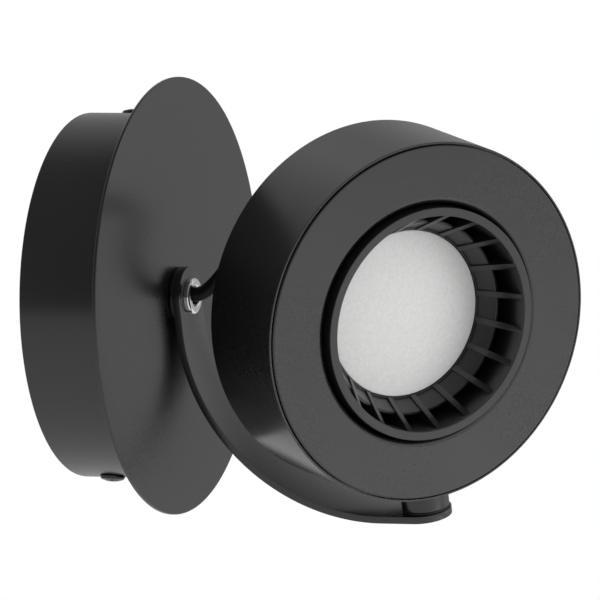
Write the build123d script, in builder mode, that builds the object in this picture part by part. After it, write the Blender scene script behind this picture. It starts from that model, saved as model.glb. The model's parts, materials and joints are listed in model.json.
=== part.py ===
from build123d import *
import math
import os

# Pivoting spotlight wall light. Millimetres, +Z up.
# The origin is on the wall, at the centre of the canopy. The wall is the plane Y = 0, and the
# light stands out from it along -Y. It is modelled as it hangs at rest: the arm turned a little
# about the canopy's axis, and the head swivelled on the arm.

os.makedirs("parts", exist_ok=True)

# ---- Driving dimensions ----
sheet = 1.2                   # sheet of the canopy and of the head's shell
canopy_radius = 50.0
canopy_depth = 25.5
disc_radius = 60.0
disc_thickness = 1.0
disc_edge_round = 0.25

arm_turn = 17.5               # degrees, arm from hanging straight down
strap_width = 16.0
strap_thickness = 2.0
strap_bend_radius = 52.0      # inside of the quarter bend
strap_straight = 8.5          # straight stretch from the bolt to the bend
strap_gap = 1.2               # washer between disc and strap
strap_tip = 7.0               # the arm's end beyond the swivel axis
pivot_reach = 65.4            # from the disc's front to the head's swivel axis

head_swivel = 37.5            # degrees, head from facing straight out
head_radius = 50.0
head_depth = 31.5             # from the back to the front plate's face
face_reach = 12.2             # from the swivel axis to the head's face
head_drop = 4.2               # head's centre below the canopy's axis, along the arm
shell_edge_round = 1.0
lip_back = 0.5                # shell's front edge behind the face
lip_thickness = 0.5           # of the shell's edge round the front plate
lip_depth = 2.1
plate_gap = 0.4               # groove round the front plate
plate_thickness = 1.8
plate_edge_round = 0.5
opening_radius = 33.0
opening_round = 1.5

lamp_radius = 32.35
lamp_ring_inner = 29.95
lamp_proud = 2.1              # ring in front of the head's face
fin_count = 20
fin_thickness = 1.8
fin_start = -0.9              # degrees, first fin from the head's side
diffuser_radius = 23.1
diffuser_recess = 12.0        # behind the head's face
diffuser_thickness = 1.5
diffuser_dome = 0.4

cable_radius = 2.0
cord_hole_radius = 2.05       # holes that the cable passes closely
cable_start = 1.0             # where the free cable begins, inside the bolt's bore
bolt_head_radius = 5.0
bolt_head_height = 1.8
bolt_shank_radius = 4.0
bolt_bore_radius = 2.6
bolt_length = 17.0            # from the mouth to the end inside the canopy
bearing_clearance = 0.05      # radial, strap on the bolt

spacer_radius = 6.6
swivel_washer_thickness = 0.5
pivot_thread_radius = 2.0     # M4
pivot_clearance = 0.1         # radial, strap on the pivot screw
screw_cone_angle = 90

# ---- Frames ----
# Each frame's z points out of the piece's front: out of the wall, along the arm's reach, or out
# of the head's face.
disc_front = canopy_depth + disc_thickness
turn = math.radians(arm_turn)
swivel = math.radians(head_swivel)
outward = Vector(0, -1, 0)
arm_side = Vector(math.cos(turn), 0, math.sin(turn))
arm_down = Vector(math.sin(turn), 0, -math.cos(turn))
head_front = outward * math.cos(swivel) - arm_side * math.sin(swivel)
head_side = arm_side * math.cos(swivel) + outward * math.sin(swivel)
head_centre = outward * (disc_front + pivot_reach) + arm_down * head_drop
head_axis = Axis(head_centre, head_front)


def wall_plane(distance):
    """Plane parallel to the wall, this far out of it, with its y up."""
    return Plane(origin=(0, -distance, 0), x_dir=(1, 0, 0), z_dir=(0, -1, 0))


def head_plane(forward):
    """Plane parallel to the head's face, this far in front of the swivel axis."""
    return Plane(origin=head_centre + head_front * forward, x_dir=head_side, z_dir=head_front)


def head_section_at(angle):
    """Plane that holds the head's axis: x is the radius at this angle, y is forward."""
    along = math.radians(angle)
    radius = head_side * math.cos(along) - arm_down * math.sin(along)
    return Plane(origin=head_centre, x_dir=radius, z_dir=radius.cross(head_front))


def head_rear_plane(forward):
    """Plane parallel to the head's face, this far in front of the swivel axis, facing back."""
    return Plane(origin=head_centre + head_front * forward, x_dir=head_side, z_dir=-head_front)


def pivot_plane(down):
    """Plane square to the swivel axis, this far below the head's centre, facing up."""
    return Plane(origin=head_centre + arm_down * down, x_dir=head_side, z_dir=-arm_down)


def arm_plane(reach):
    """Plane parallel to the disc, this far in front of it, with its x across the strap."""
    return Plane(origin=outward * (disc_front + reach), x_dir=arm_side, z_dir=outward)


def section_of(seat):
    """Plane that holds the seat's axis: x is the radius, y is the height above the seat."""
    return Plane(origin=seat.origin, x_dir=seat.x_dir, z_dir=-seat.y_dir)


def arm_point(side, down, reach):
    """Point by its place across the strap, along the arm and in front of the disc."""
    return outward * (disc_front + reach) + arm_side * side + arm_down * down


def placed(plane, x, y):
    """The same plane with its origin moved to x, y on it."""
    return Plane(origin=plane.from_local_coords((x, y, 0)), x_dir=plane.x_dir, z_dir=plane.z_dir)


def on_circle(plane, radius, angles):
    """Copies of the plane with their origins on a circle about its own."""
    return [
        placed(plane, radius * math.cos(math.radians(a)), radius * math.sin(math.radians(a)))
        for a in angles
    ]


def dome_point(edge_radius, edge_height, top_height):
    """Middle of a dome's outline: an arc from its edge to its top, level at the top."""
    rise = top_height - edge_height
    crown = (edge_radius**2 + rise**2) / (2 * rise)
    half_angle = math.asin(edge_radius / crown) / 2
    return (crown * math.sin(half_angle), top_height - crown * (1 - math.cos(half_angle)))


# ---- Fasteners ----
m2_5_radius = 1.25
m3_radius = 1.5
m4_radius = 2.0
thread_clearance = 0.05
m3_hole_radius = m3_radius + thread_clearance
m4_hole_radius = m4_radius + thread_clearance
recess_depth = 0.9
recess_reach = 1.15           # cross recess, as shares of the head's radius
recess_slot = 0.22
crown_start = 0.55            # height of a head's straight side, as a share of its height
m2_5_head = (2.1, 1.7)        # radius and height, as in the next heads
low_m3_head = (2.6, 1.7)
m3_head = (2.6, 1.8)
wide_m3_head = (2.75, 1.9)
low_m4_head = (3.5, 1.4)
m4_head = (3.6, 2.3)


def pan_head_screws(seats, head, shank_radius, shank_length):
    """Pan-head screws with a cross recess. Each seat is a plane under a head, facing out."""
    head_radius, head_height = head
    side_height = head_height * crown_start
    crown_middle = dome_point(head_radius, side_height, head_height)
    with BuildPart() as screws:
        for seat in seats:
            with BuildSketch(section_of(seat)):
                with BuildLine():
                    Polyline(
                        (0, head_height),
                        (0, -shank_length),
                        (shank_radius, -shank_length),
                        (shank_radius, 0),
                        (head_radius, 0),
                        (head_radius, side_height),
                    )
                    ThreePointArc((head_radius, side_height), crown_middle, (0, head_height))
                make_face()
            revolve(axis=Axis(seat.origin, seat.z_dir))
            with BuildSketch(seat.offset(head_height)):
                Rectangle(head_radius * recess_reach, head_radius * recess_slot)
                Rectangle(head_radius * recess_slot, head_radius * recess_reach)
            extrude(amount=-recess_depth, mode=Mode.SUBTRACT)
    return screws


def hex_nut(seat, across_flats, height, bore_radius):
    """Hexagon nut standing on the seat plane, its bore right through."""
    with BuildPart() as nut:
        with BuildSketch(seat):
            RegularPolygon(across_flats / 2, 6, major_radius=False)
            Circle(bore_radius, mode=Mode.SUBTRACT)
        extrude(amount=height)
    return nut


def straight_wires(starts, direction, length, radius):
    """Straight insulated wires from each start point, all one way."""
    with BuildPart() as wires:
        for start in starts:
            with BuildSketch(Plane(origin=start, z_dir=direction)):
                Circle(radius)
            extrude(amount=length)
    return wires


# ---- Canopy on the wall ----
side_screw_turn = 9.0         # degrees, line of the side screws from upright
side_screw_out = 10.0         # from the wall
side_screw_length = 8.0
side_hole_radius = 2.3
bolt_hole_radius = bolt_shank_radius + bearing_clearance
side_turn = math.radians(side_screw_turn)
side_up = Vector(math.sin(side_turn), 0, math.cos(side_turn))
side_across = Vector(math.cos(side_turn), 0, -math.sin(side_turn))
side_axis_point = outward * side_screw_out
side_seats = [
    Plane(origin=side_axis_point + side_up * canopy_radius, x_dir=side_across, z_dir=side_up),
    Plane(origin=side_axis_point - side_up * canopy_radius, x_dir=side_across, z_dir=-side_up),
]
side_hole_plane = Plane(origin=side_axis_point, x_dir=side_across, z_dir=side_up)

with BuildPart() as canopy_drum:
    with BuildSketch(wall_plane(0)):
        Circle(canopy_radius)
    extrude(amount=canopy_depth)
    with BuildSketch(wall_plane(0)):
        Circle(canopy_radius - sheet)
    extrude(amount=canopy_depth - sheet, mode=Mode.SUBTRACT)
    with BuildSketch(wall_plane(canopy_depth - sheet)):
        Circle(bolt_hole_radius)
    extrude(amount=sheet, mode=Mode.SUBTRACT)
    with BuildSketch(side_hole_plane):
        Circle(side_hole_radius)
    extrude(amount=canopy_radius + sheet, both=True, mode=Mode.SUBTRACT)
canopy_drum.part.label = "canopy_drum"
export_step(canopy_drum.part, "parts/canopy_drum.step")

with BuildPart() as backplate_disc:
    with BuildSketch(wall_plane(canopy_depth)):
        Circle(disc_radius)
        Circle(bolt_hole_radius, mode=Mode.SUBTRACT)
    extrude(amount=disc_thickness)
    rim = backplate_disc.edges().filter_by(lambda e: e.length > math.pi * disc_radius)
    fillet(rim, radius=disc_edge_round)
backplate_disc.part.label = "backplate_disc"
export_step(backplate_disc.part, "parts/backplate_disc.step")

side_screws = pan_head_screws(side_seats, low_m4_head, m4_radius, side_screw_length)
side_screws.part.label = "side_screws"
export_step(side_screws.part, "parts/side_screws.step")

# ---- Wall bracket: a plate with two bent ears for the side screws ----
plate_radius = 46.5
bracket_thickness = 1.5
bracket_width = 76.0
ear_width = 16.0
ear_height = 15.0
mains_hole_radius = 9.0
wall_hole_circle = 30.0       # radius; the holes are 60 mm apart, as in a wall box
wall_hole_radius = 2.5
driver_screw_points = [(25.0, -18.7), (25.0, 30.7)]
clamp_screw_points = [(-7.5, -14.0), (7.5, -14.0)]
block_screw_points = [(-27.0, 4.5), (-27.0, 13.5)]
earth_point = (-20.0, -22.0)

with BuildPart() as wall_bracket:
    bracket_plane = Plane(origin=(0, 0, 0), x_dir=side_across, z_dir=outward)
    with BuildSketch(bracket_plane):
        Circle(plate_radius)
        Rectangle(bracket_width, 2 * plate_radius, mode=Mode.INTERSECT)
        Circle(mains_hole_radius, mode=Mode.SUBTRACT)
        with PolarLocations(wall_hole_circle, 2, start_angle=90):
            Circle(wall_hole_radius, mode=Mode.SUBTRACT)
    extrude(amount=bracket_thickness)
    with BuildSketch(bracket_plane):
        with GridLocations(0, 2 * plate_radius - bracket_thickness, 1, 2):
            Rectangle(ear_width, bracket_thickness)
    extrude(amount=ear_height)
    with BuildSketch(side_hole_plane):
        Circle(m4_hole_radius)
    extrude(amount=plate_radius + bracket_thickness, both=True, mode=Mode.SUBTRACT)
    with BuildSketch(wall_plane(0)):
        with Locations(*driver_screw_points, *clamp_screw_points, *block_screw_points):
            Circle(m3_hole_radius)
        with Locations(earth_point):
            Circle(m4_hole_radius)
    extrude(amount=bracket_thickness, mode=Mode.SUBTRACT)
wall_bracket.part.label = "wall_bracket"
export_step(wall_bracket.part, "parts/wall_bracket.step")

# ---- Hollow bolt that carries the arm, and what holds it behind the canopy's front ----
bolt_mouth = strap_gap + strap_thickness + bolt_head_height
bolt_edge_round = 0.6
bolt_mouth_round = 0.5
with BuildPart() as hollow_bolt:
    with BuildSketch(arm_plane(strap_gap + strap_thickness)):
        Circle(bolt_head_radius)
    extrude(amount=bolt_head_height)
    top = hollow_bolt.faces().sort_by(Axis.Y)[0]
    fillet(top.edges(), radius=bolt_edge_round)
    with BuildSketch(arm_plane(strap_gap + strap_thickness)):
        Circle(bolt_shank_radius)
    extrude(amount=bolt_head_height - bolt_length)
    with BuildSketch(arm_plane(bolt_mouth)):
        Circle(bolt_bore_radius)
    extrude(amount=-bolt_length, mode=Mode.SUBTRACT)
    mouth = hollow_bolt.faces().sort_by(Axis.Y)[0].edges().sort_by(SortBy.LENGTH)[0]
    fillet(mouth, radius=bolt_mouth_round)
hollow_bolt.part.label = "hollow_bolt"
export_step(hollow_bolt.part, "parts/hollow_bolt.step")

with BuildPart() as friction_washer:
    with BuildSketch(arm_plane(0)):
        Circle(strap_width / 2)
        Circle(bolt_hole_radius, mode=Mode.SUBTRACT)
    extrude(amount=strap_gap)
friction_washer.part.label = "friction_washer"
export_step(friction_washer.part, "parts/friction_washer.step")

spring_washer_height = 0.9
spring_washer_radius = 7.5
washer_sheet = 0.5
washer_seat = wall_plane(canopy_depth - sheet - spring_washer_height)
with BuildPart() as spring_washer:
    with BuildSketch(section_of(washer_seat)):
        with BuildLine():
            Polyline(
                (bolt_hole_radius, 0),
                (spring_washer_radius, spring_washer_height - washer_sheet),
                (spring_washer_radius, spring_washer_height),
                (bolt_hole_radius, washer_sheet),
                close=True,
            )
        make_face()
    revolve(axis=Axis(washer_seat.origin, washer_seat.z_dir))
spring_washer.part.label = "spring_washer"
export_step(spring_washer.part, "parts/spring_washer.step")

lock_nut_height = 4.0
lock_nut_flats = 13.0
nut_seat = wall_plane(canopy_depth - sheet - spring_washer_height - lock_nut_height)
lock_nut = hex_nut(nut_seat, lock_nut_flats, lock_nut_height, bolt_hole_radius)
lock_nut.part.label = "lock_nut"
export_step(lock_nut.part, "parts/lock_nut.step")

# ---- Cable inside the canopy, from the bolt's mouth to the output terminal ----
lead_out = 5.5                # cable's middle in front of the wall, past its first bend
lead_down = 28.5
terminal_face = 14.0
lead_bends = [8.9, 8.0]
with BuildPart() as canopy_lead:
    with BuildLine() as lead_route:
        FilletPolyline(
            (0, -disc_front - cable_start, 0),
            (0, -lead_out, 0),
            (0, -lead_out, -lead_down),
            (terminal_face, -lead_out, -lead_down),
            radius=lead_bends,
        )
    with BuildSketch(arm_plane(cable_start)):
        Circle(cable_radius)
    sweep()
canopy_lead.part.label = "canopy_lead"
export_step(canopy_lead.part, "parts/canopy_lead.step")

clamp_top = -11.0
clamp_width = 6.0
clamp_length = 21.0
clamp_sheet = 1.5
clamp_ring_radius = 3.6
clamp_screw_length = 2.9
with BuildPart() as cord_clamp:
    with BuildSketch(Plane(origin=(0, 0, clamp_top), x_dir=(1, 0, 0), z_dir=(0, 0, -1))):
        # here y on the sketch is the distance from the wall
        with Locations((0, bracket_thickness + clamp_sheet / 2)):
            Rectangle(clamp_length, clamp_sheet)
        with Locations((0, (bracket_thickness + lead_out) / 2)):
            Rectangle(2 * clamp_ring_radius, lead_out - bracket_thickness)
        with Locations((0, lead_out)):
            Circle(clamp_ring_radius)
            Circle(cord_hole_radius, mode=Mode.SUBTRACT)
        with Locations((0, (lead_out + bracket_thickness) / 2)):
            Rectangle(2 * cord_hole_radius, lead_out - bracket_thickness, mode=Mode.SUBTRACT)
    extrude(amount=clamp_width)
    with BuildSketch(wall_plane(bracket_thickness)):
        with Locations(*clamp_screw_points):
            Circle(m3_hole_radius)
    extrude(amount=clamp_sheet, mode=Mode.SUBTRACT)
cord_clamp.part.label = "cord_clamp"
export_step(cord_clamp.part, "parts/cord_clamp.step")

clamp_screws = pan_head_screws(
    [placed(wall_plane(bracket_thickness + clamp_sheet), x, y) for x, y in clamp_screw_points],
    m3_head, m3_radius, clamp_screw_length,
)
clamp_screws.part.label = "clamp_screws"
export_step(clamp_screws.part, "parts/clamp_screws.step")

# ---- Mains terminal block, earth terminal ----
block_left = -38.0
block_width = 22.0
block_bottom = -6.0
block_length = 30.0
block_height = 14.0
pole_count = 3
pole_pitch = 9.0
wire_height = 5.0             # wires above the bracket
wire_hole_radius = 1.6
column_pitch = 12.0
screw_well_radius = 2.3
screw_well_depth = 6.0
terminal_hole_radius = m2_5_radius + thread_clearance
block_corner_round = 1.0
block_centre = (block_left + block_width / 2, block_bottom + block_length / 2)
with BuildPart() as terminal_block:
    with BuildSketch(wall_plane(bracket_thickness)):
        with Locations(block_centre):
            RectangleRounded(block_width, block_length, block_corner_round)
    extrude(amount=block_height)
    with BuildSketch(wall_plane(bracket_thickness + block_height)):
        with Locations(block_centre):
            with GridLocations(column_pitch, pole_pitch, 2, pole_count):
                Circle(screw_well_radius)
    extrude(amount=-screw_well_depth, mode=Mode.SUBTRACT)
    with BuildSketch(wall_plane(bracket_thickness + wire_height)):
        with Locations(block_centre):
            with GridLocations(column_pitch, pole_pitch, 2, pole_count):
                Circle(terminal_hole_radius)
    extrude(amount=block_height - wire_height, mode=Mode.SUBTRACT)
    wire_plane = Plane(
        origin=(block_left, -bracket_thickness - wire_height, block_centre[1]),
        x_dir=(0, 1, 0),
        z_dir=(1, 0, 0),
    )
    with BuildSketch(wire_plane):
        with GridLocations(0, pole_pitch, 1, pole_count):
            Circle(wire_hole_radius)
    extrude(amount=block_width, mode=Mode.SUBTRACT)
    with BuildSketch(wall_plane(bracket_thickness)):
        with Locations(*block_screw_points):
            Circle(m3_hole_radius)
    extrude(amount=block_height, mode=Mode.SUBTRACT)
terminal_block.part.label = "terminal_block"
export_step(terminal_block.part, "parts/terminal_block.step")

terminal_screw_length = 1.8
terminal_seats = [
    placed(
        wall_plane(bracket_thickness + block_height - screw_well_depth),
        block_centre[0] + side * column_pitch / 2,
        block_centre[1] + pole * pole_pitch,
    )
    for side in (-1, 1)
    for pole in (-1, 0, 1)
]
terminal_screws = pan_head_screws(
    terminal_seats, m2_5_head, m2_5_radius, terminal_screw_length
)
terminal_screws.part.label = "terminal_screws"
export_step(terminal_screws.part, "parts/terminal_screws.step")

screw_in_bracket = 1.4
block_screws = pan_head_screws(
    [placed(wall_plane(bracket_thickness + block_height), x, y) for x, y in block_screw_points],
    m3_head, m3_radius, block_height + screw_in_bracket,
)
block_screws.part.label = "block_screws"
export_step(block_screws.part, "parts/block_screws.step")

earth_washer_thickness = 1.0
earth_washer_radius = 4.5
earth_seat = placed(wall_plane(bracket_thickness), *earth_point)
with BuildPart() as earth_washer:
    with BuildSketch(earth_seat):
        Circle(earth_washer_radius)
        Circle(m4_hole_radius, mode=Mode.SUBTRACT)
    extrude(amount=earth_washer_thickness)
earth_washer.part.label = "earth_washer"
export_step(earth_washer.part, "parts/earth_washer.step")

earth_screw = pan_head_screws(
    [earth_seat.offset(earth_washer_thickness)],
    m4_head, m4_radius, earth_washer_thickness + screw_in_bracket,
)
earth_screw.part.label = "earth_screw"
export_step(earth_screw.part, "parts/earth_screw.step")

# ---- LED driver and the terminal that joins its output to the cable ----
driver_centre = (25.0, 6.0)
driver_width = 24.0
driver_length = 44.0
driver_height = 18.0
lug_width = 10.0
lug_span = 54.0
lug_thickness = 2.0
driver_corner_round = 2.0
driver_lid_round = 1.2
with BuildPart() as driver:
    with BuildSketch(wall_plane(bracket_thickness)):
        with Locations(driver_centre):
            RectangleRounded(driver_width, driver_length, driver_corner_round)
    extrude(amount=driver_height)
    lid = driver.faces().sort_by(Axis.Y)[0]
    fillet(lid.edges(), radius=driver_lid_round)
    with BuildSketch(wall_plane(bracket_thickness)):
        with Locations(driver_centre):
            RectangleRounded(lug_width, lug_span, driver_corner_round)
    extrude(amount=lug_thickness)
    with BuildSketch(wall_plane(bracket_thickness)):
        with Locations(*driver_screw_points):
            Circle(m3_hole_radius)
    extrude(amount=lug_thickness, mode=Mode.SUBTRACT)
driver.part.label = "driver"
export_step(driver.part, "parts/driver.step")

driver_screws = pan_head_screws(
    [placed(wall_plane(bracket_thickness + lug_thickness), x, y) for x, y in driver_screw_points],
    m3_head, m3_radius, lug_thickness + screw_in_bracket,
)
driver_screws.part.label = "driver_screws"
export_step(driver_screws.part, "parts/driver_screws.step")

output_width = 16.0
output_height = 11.0
output_depth = 10.0
output_corner_round = 0.8
output_chamfer = 0.6
output_wire_radius = 0.9
output_wire_out = 8.0         # wires' middle from the wall
output_wire_sides = (19.0, 25.0)
output_centre = (terminal_face + output_width / 2, -lead_down)
output_top = output_centre[1] + output_height / 2
driver_foot = driver_centre[1] - driver_length / 2
with BuildPart() as output_terminal:
    with BuildSketch(wall_plane(bracket_thickness)):
        with Locations(output_centre):
            RectangleRounded(output_width, output_height, output_corner_round)
    extrude(amount=output_depth)
    shoulder = output_terminal.faces().sort_by(Axis.Y)[0]
    chamfer(shoulder.edges(), length=output_chamfer)
output_terminal.part.label = "output_terminal"
export_step(output_terminal.part, "parts/output_terminal.step")

output_wires = straight_wires(
    [(x, -output_wire_out, driver_foot) for x in output_wire_sides],
    (0, 0, -1), driver_foot - output_top, output_wire_radius,
)
output_wires.part.label = "output_wires"
export_step(output_wires.part, "parts/output_wires.step")

input_wire_radius = 1.1
wire_in_block = 5.0           # length of each wire's end inside the block
input_start = block_left + block_width - wire_in_block
input_out = bracket_thickness + wire_height
driver_side = driver_centre[0] - driver_width / 2
input_wires = straight_wires(
    [(input_start, -input_out, block_centre[1] + pole * pole_pitch) for pole in (0, 1)],
    (1, 0, 0), driver_side - input_start, input_wire_radius,
)
input_wires.part.label = "input_wires"
export_step(input_wires.part, "parts/input_wires.step")

# ---- Arm: one flat strip, bent to a quarter circle ----
strap_inner = strap_bend_radius + strap_straight
strap_outer = strap_inner + strap_thickness
strap_front = strap_gap + strap_thickness
bend_centre = strap_front + strap_bend_radius
strap_end = pivot_reach + strap_tip
strap_side_plane = Plane(origin=outward * disc_front, x_dir=outward, z_dir=arm_side)
pivot_foot = Plane(
    origin=arm_point(0, strap_outer, pivot_reach), x_dir=arm_side, z_dir=arm_down
)
half_root = math.sqrt(0.5)
end_round = strap_width / 2 - 0.02
with BuildPart() as arm_strap:
    with BuildSketch(strap_side_plane):
        with BuildLine():
            Line((strap_gap, -strap_width / 2), (strap_front, -strap_width / 2))
            Line((strap_front, -strap_width / 2), (strap_front, strap_straight))
            ThreePointArc(
                (strap_front, strap_straight),
                (
                    bend_centre - strap_bend_radius * half_root,
                    strap_straight + strap_bend_radius * half_root,
                ),
                (bend_centre, strap_inner),
            )
            Line((bend_centre, strap_inner), (strap_end, strap_inner))
            Line((strap_end, strap_inner), (strap_end, strap_outer))
            Line((strap_end, strap_outer), (bend_centre, strap_outer))
            ThreePointArc(
                (bend_centre, strap_outer),
                (
                    bend_centre - (strap_bend_radius + strap_thickness) * half_root,
                    strap_straight + (strap_bend_radius + strap_thickness) * half_root,
                ),
                (strap_gap, strap_straight),
            )
            Line((strap_gap, strap_straight), (strap_gap, -strap_width / 2))
        make_face()
    extrude(amount=strap_width / 2, both=True)
    corners = arm_strap.edges().filter_by(lambda e: abs(e.length - strap_thickness) < 0.001)
    fillet(corners, radius=end_round)
    with BuildSketch(arm_plane(strap_gap)):
        Circle(bolt_hole_radius)
    extrude(amount=strap_thickness, mode=Mode.SUBTRACT)
    with Locations(pivot_foot):
        CounterSinkHole(
            radius=pivot_thread_radius + pivot_clearance,
            counter_sink_radius=2 * pivot_thread_radius,
            depth=strap_thickness,
            counter_sink_angle=screw_cone_angle,
        )
arm_strap.part.label = "arm_strap"
export_step(arm_strap.part, "parts/arm_strap.step")

washer_down = strap_inner - head_drop
loose_hole_radius = pivot_thread_radius + 2 * pivot_clearance
with BuildPart() as swivel_washer:
    with BuildSketch(pivot_plane(washer_down)):
        Circle(spacer_radius)
        Circle(loose_hole_radius, mode=Mode.SUBTRACT)
    extrude(amount=swivel_washer_thickness)
swivel_washer.part.label = "swivel_washer"
export_step(swivel_washer.part, "parts/swivel_washer.step")

# ---- Cable from the bolt to the head ----
grommet_height = 24.0         # above the head's centre
grommet_nose = 10.0           # behind the head's back
head_back = face_reach - head_depth
nose_tip = head_plane(head_back - grommet_nose).from_local_coords((0, grommet_height, 0))
first_bend = 6.2
last_bend = 7.6               # behind the grommet's nose
cable_points = [
    arm_point(0, 0, cable_start),
    arm_point(0, 0, first_bend),
    arm_point(0.8, -4.0, 11.6),
    arm_point(5.0, -10.4, 16.0),
    arm_point(14.6, -16.2, 17.2),
    arm_point(20.4, -18.4, 21.6),
    arm_point(23.4, -19.4, 28.6),
    nose_tip - head_front * last_bend,
    nose_tip,
]
arc_share = 0.45              # of each stretch that a bend may take
cable_radii = []
for before, here, after in zip(cable_points, cable_points[1:], cable_points[2:]):
    turned = math.radians((here - before).get_angle(after - here))
    shorter = min((here - before).length, (after - here).length)
    cable_radii.append(arc_share * shorter / math.tan(turned / 2))
print("cable bend radii", [round(radius, 1) for radius in cable_radii])

with BuildPart() as head_cable:
    with BuildLine() as cable_route:
        FilletPolyline(*cable_points, radius=cable_radii)
    with BuildSketch(arm_plane(cable_start)):
        Circle(cable_radius)
    sweep()
cable_length = cable_route.wire().length
print("cable length", round(cable_length, 1))
print("cable volume by length", round(cable_length * math.pi * cable_radius**2, 1))
print("cable volume", round(head_cable.part.volume, 1))
head_cable.part.label = "head_cable"
export_step(head_cable.part, "parts/head_cable.step")

# ---- Head: shell, front plate and what holds the plate ----
def head_front_edges(piece):
    """Edges of the piece's foremost face on the head, the shortest first."""
    front = piece.faces().sort_by(head_axis)[-1]
    return front.edges().sort_by(SortBy.LENGTH)


shell_inner = head_radius - sheet
back_inside = head_back + sheet
pillar_circle = 41.0
pillar_angles = (90, 210, 330)
plate_screw_seats = on_circle(
    head_rear_plane(head_back), pillar_circle, [-angle for angle in pillar_angles]
)
lip_inner = head_radius - lip_thickness
lip_front = face_reach - lip_back
lip_edge_round = 0.2
bridge_screw_reach = 22.5
grommet_neck_radius = 3.5
grommet_clearance = 0.1
with BuildPart() as head_shell:
    with BuildSketch(head_plane(head_back)):
        Circle(head_radius)
    extrude(amount=lip_front - head_back)
    rims = head_shell.edges().filter_by(GeomType.CIRCLE).sort_by(head_axis)
    fillet(rims[0], radius=shell_edge_round)
    fillet(head_front_edges(head_shell), radius=lip_edge_round)
    with BuildSketch(head_plane(back_inside)):
        Circle(shell_inner)
    extrude(amount=head_depth, mode=Mode.SUBTRACT)
    with BuildSketch(head_plane(face_reach - lip_depth)):
        Circle(lip_inner)
    extrude(amount=lip_depth, mode=Mode.SUBTRACT)
    with BuildSketch(head_plane(head_back)):
        with PolarLocations(pillar_circle, len(pillar_angles), start_angle=pillar_angles[0]):
            Circle(m3_hole_radius)
        with GridLocations(2 * bridge_screw_reach, 0, 2, 1):
            Circle(m3_hole_radius)
        with Locations((0, grommet_height)):
            Circle(grommet_neck_radius + grommet_clearance)
    extrude(amount=sheet, mode=Mode.SUBTRACT)
    with BuildSketch(pivot_plane(head_radius)):
        Circle(loose_hole_radius)
    extrude(amount=2 * sheet, mode=Mode.SUBTRACT)
head_shell.part.label = "head_shell"
export_step(head_shell.part, "parts/head_shell.step")

plate_back = face_reach - plate_thickness
with BuildPart() as front_plate:
    with BuildSketch(head_plane(plate_back)):
        Circle(lip_inner - plate_gap)
        Circle(opening_radius, mode=Mode.SUBTRACT)
    extrude(amount=plate_thickness)
    opening_edge, outer_edge = head_front_edges(front_plate)
    fillet(outer_edge, radius=plate_edge_round)
    fillet(opening_edge, radius=opening_round)
front_plate.part.label = "front_plate"
export_step(front_plate.part, "parts/front_plate.step")

pillar_radius = 3.0
with BuildPart() as plate_pillars:
    with BuildSketch(head_plane(back_inside)):
        with PolarLocations(pillar_circle, len(pillar_angles), start_angle=pillar_angles[0]):
            Circle(pillar_radius)
            Circle(m3_hole_radius, mode=Mode.SUBTRACT)
    extrude(amount=plate_back - back_inside)
plate_pillars.part.label = "plate_pillars"
export_step(plate_pillars.part, "parts/plate_pillars.step")

rear_screw_length = 9.0
rear_screws = pan_head_screws(plate_screw_seats, wide_m3_head, m3_radius, rear_screw_length)
rear_screws.part.label = "rear_screws"
export_step(rear_screws.part, "parts/rear_screws.step")

# ---- Lamp: ring, fins and cone round the light ----
lamp_front = face_reach + lamp_proud
lamp_floor = -8.0
lamp_back = lamp_floor - 2.0
cup_inner = 23.3
cup_outer = 24.8
cup_top = 0.6
diffuser_front = face_reach - diffuser_recess
ledge_top = diffuser_front - diffuser_thickness
ledge_inner = 22.3
fin_foot = (23.4, 0.7)        # front edge of a fin: radius and reach at its inner end
fin_top = (30.2, 13.9)
cone_foot = (23.85, 0.48)     # cone just below the fins' front edges
cone_top = (26.4, 5.6)
cone_wall = 0.85
ring_round = 0.25
lamp_screw_reach = 10.0
board_screw_reach = 13.0
head_section = head_section_at(0)
fin_planes = [head_section_at(fin_start + k * 360 / fin_count) for k in range(fin_count)]
with BuildPart() as lamp_body:
    with BuildSketch(head_section):
        with BuildLine():
            Polyline(
                (0, lamp_back),
                (lamp_radius, lamp_back),
                (lamp_radius, lamp_front),
                (lamp_ring_inner, lamp_front),
                (lamp_ring_inner, lamp_floor),
                (cup_outer, lamp_floor),
                (cup_outer, cone_foot[1]),
                (cone_top[0] + cone_wall, cone_top[1] - 0.1),
                cone_top,
                cone_foot,
                (cup_inner, cup_top),
                (cup_inner, ledge_top),
                (ledge_inner, ledge_top),
                (ledge_inner, lamp_floor),
                (0, lamp_floor),
                close=True,
            )
        make_face()
    revolve(axis=head_axis)
    front_rims = lamp_body.edges().group_by(head_axis)[-1]
    fillet(front_rims, radius=ring_round)
    with BuildSketch(*fin_planes):
        with BuildLine():
            Polyline(
                (fin_foot[0], cup_top - 0.2),
                fin_foot,
                fin_top,
                (fin_top[0], lamp_floor - 0.5),
                (cup_outer - 0.5, lamp_floor - 0.5),
                (cup_outer - 0.5, cup_top - 0.2),
                close=True,
            )
        make_face()
    extrude(amount=fin_thickness / 2, both=True)
    with BuildSketch(head_plane(lamp_back)):
        with GridLocations(2 * lamp_screw_reach, 0, 2, 1):
            Circle(m3_hole_radius)
        with GridLocations(0, 2 * board_screw_reach, 1, 2):
            Circle(m3_hole_radius)
    extrude(amount=lamp_floor - lamp_back, mode=Mode.SUBTRACT)
lamp_body.part.label = "lamp_body"
export_step(lamp_body.part, "parts/lamp_body.step")

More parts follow.
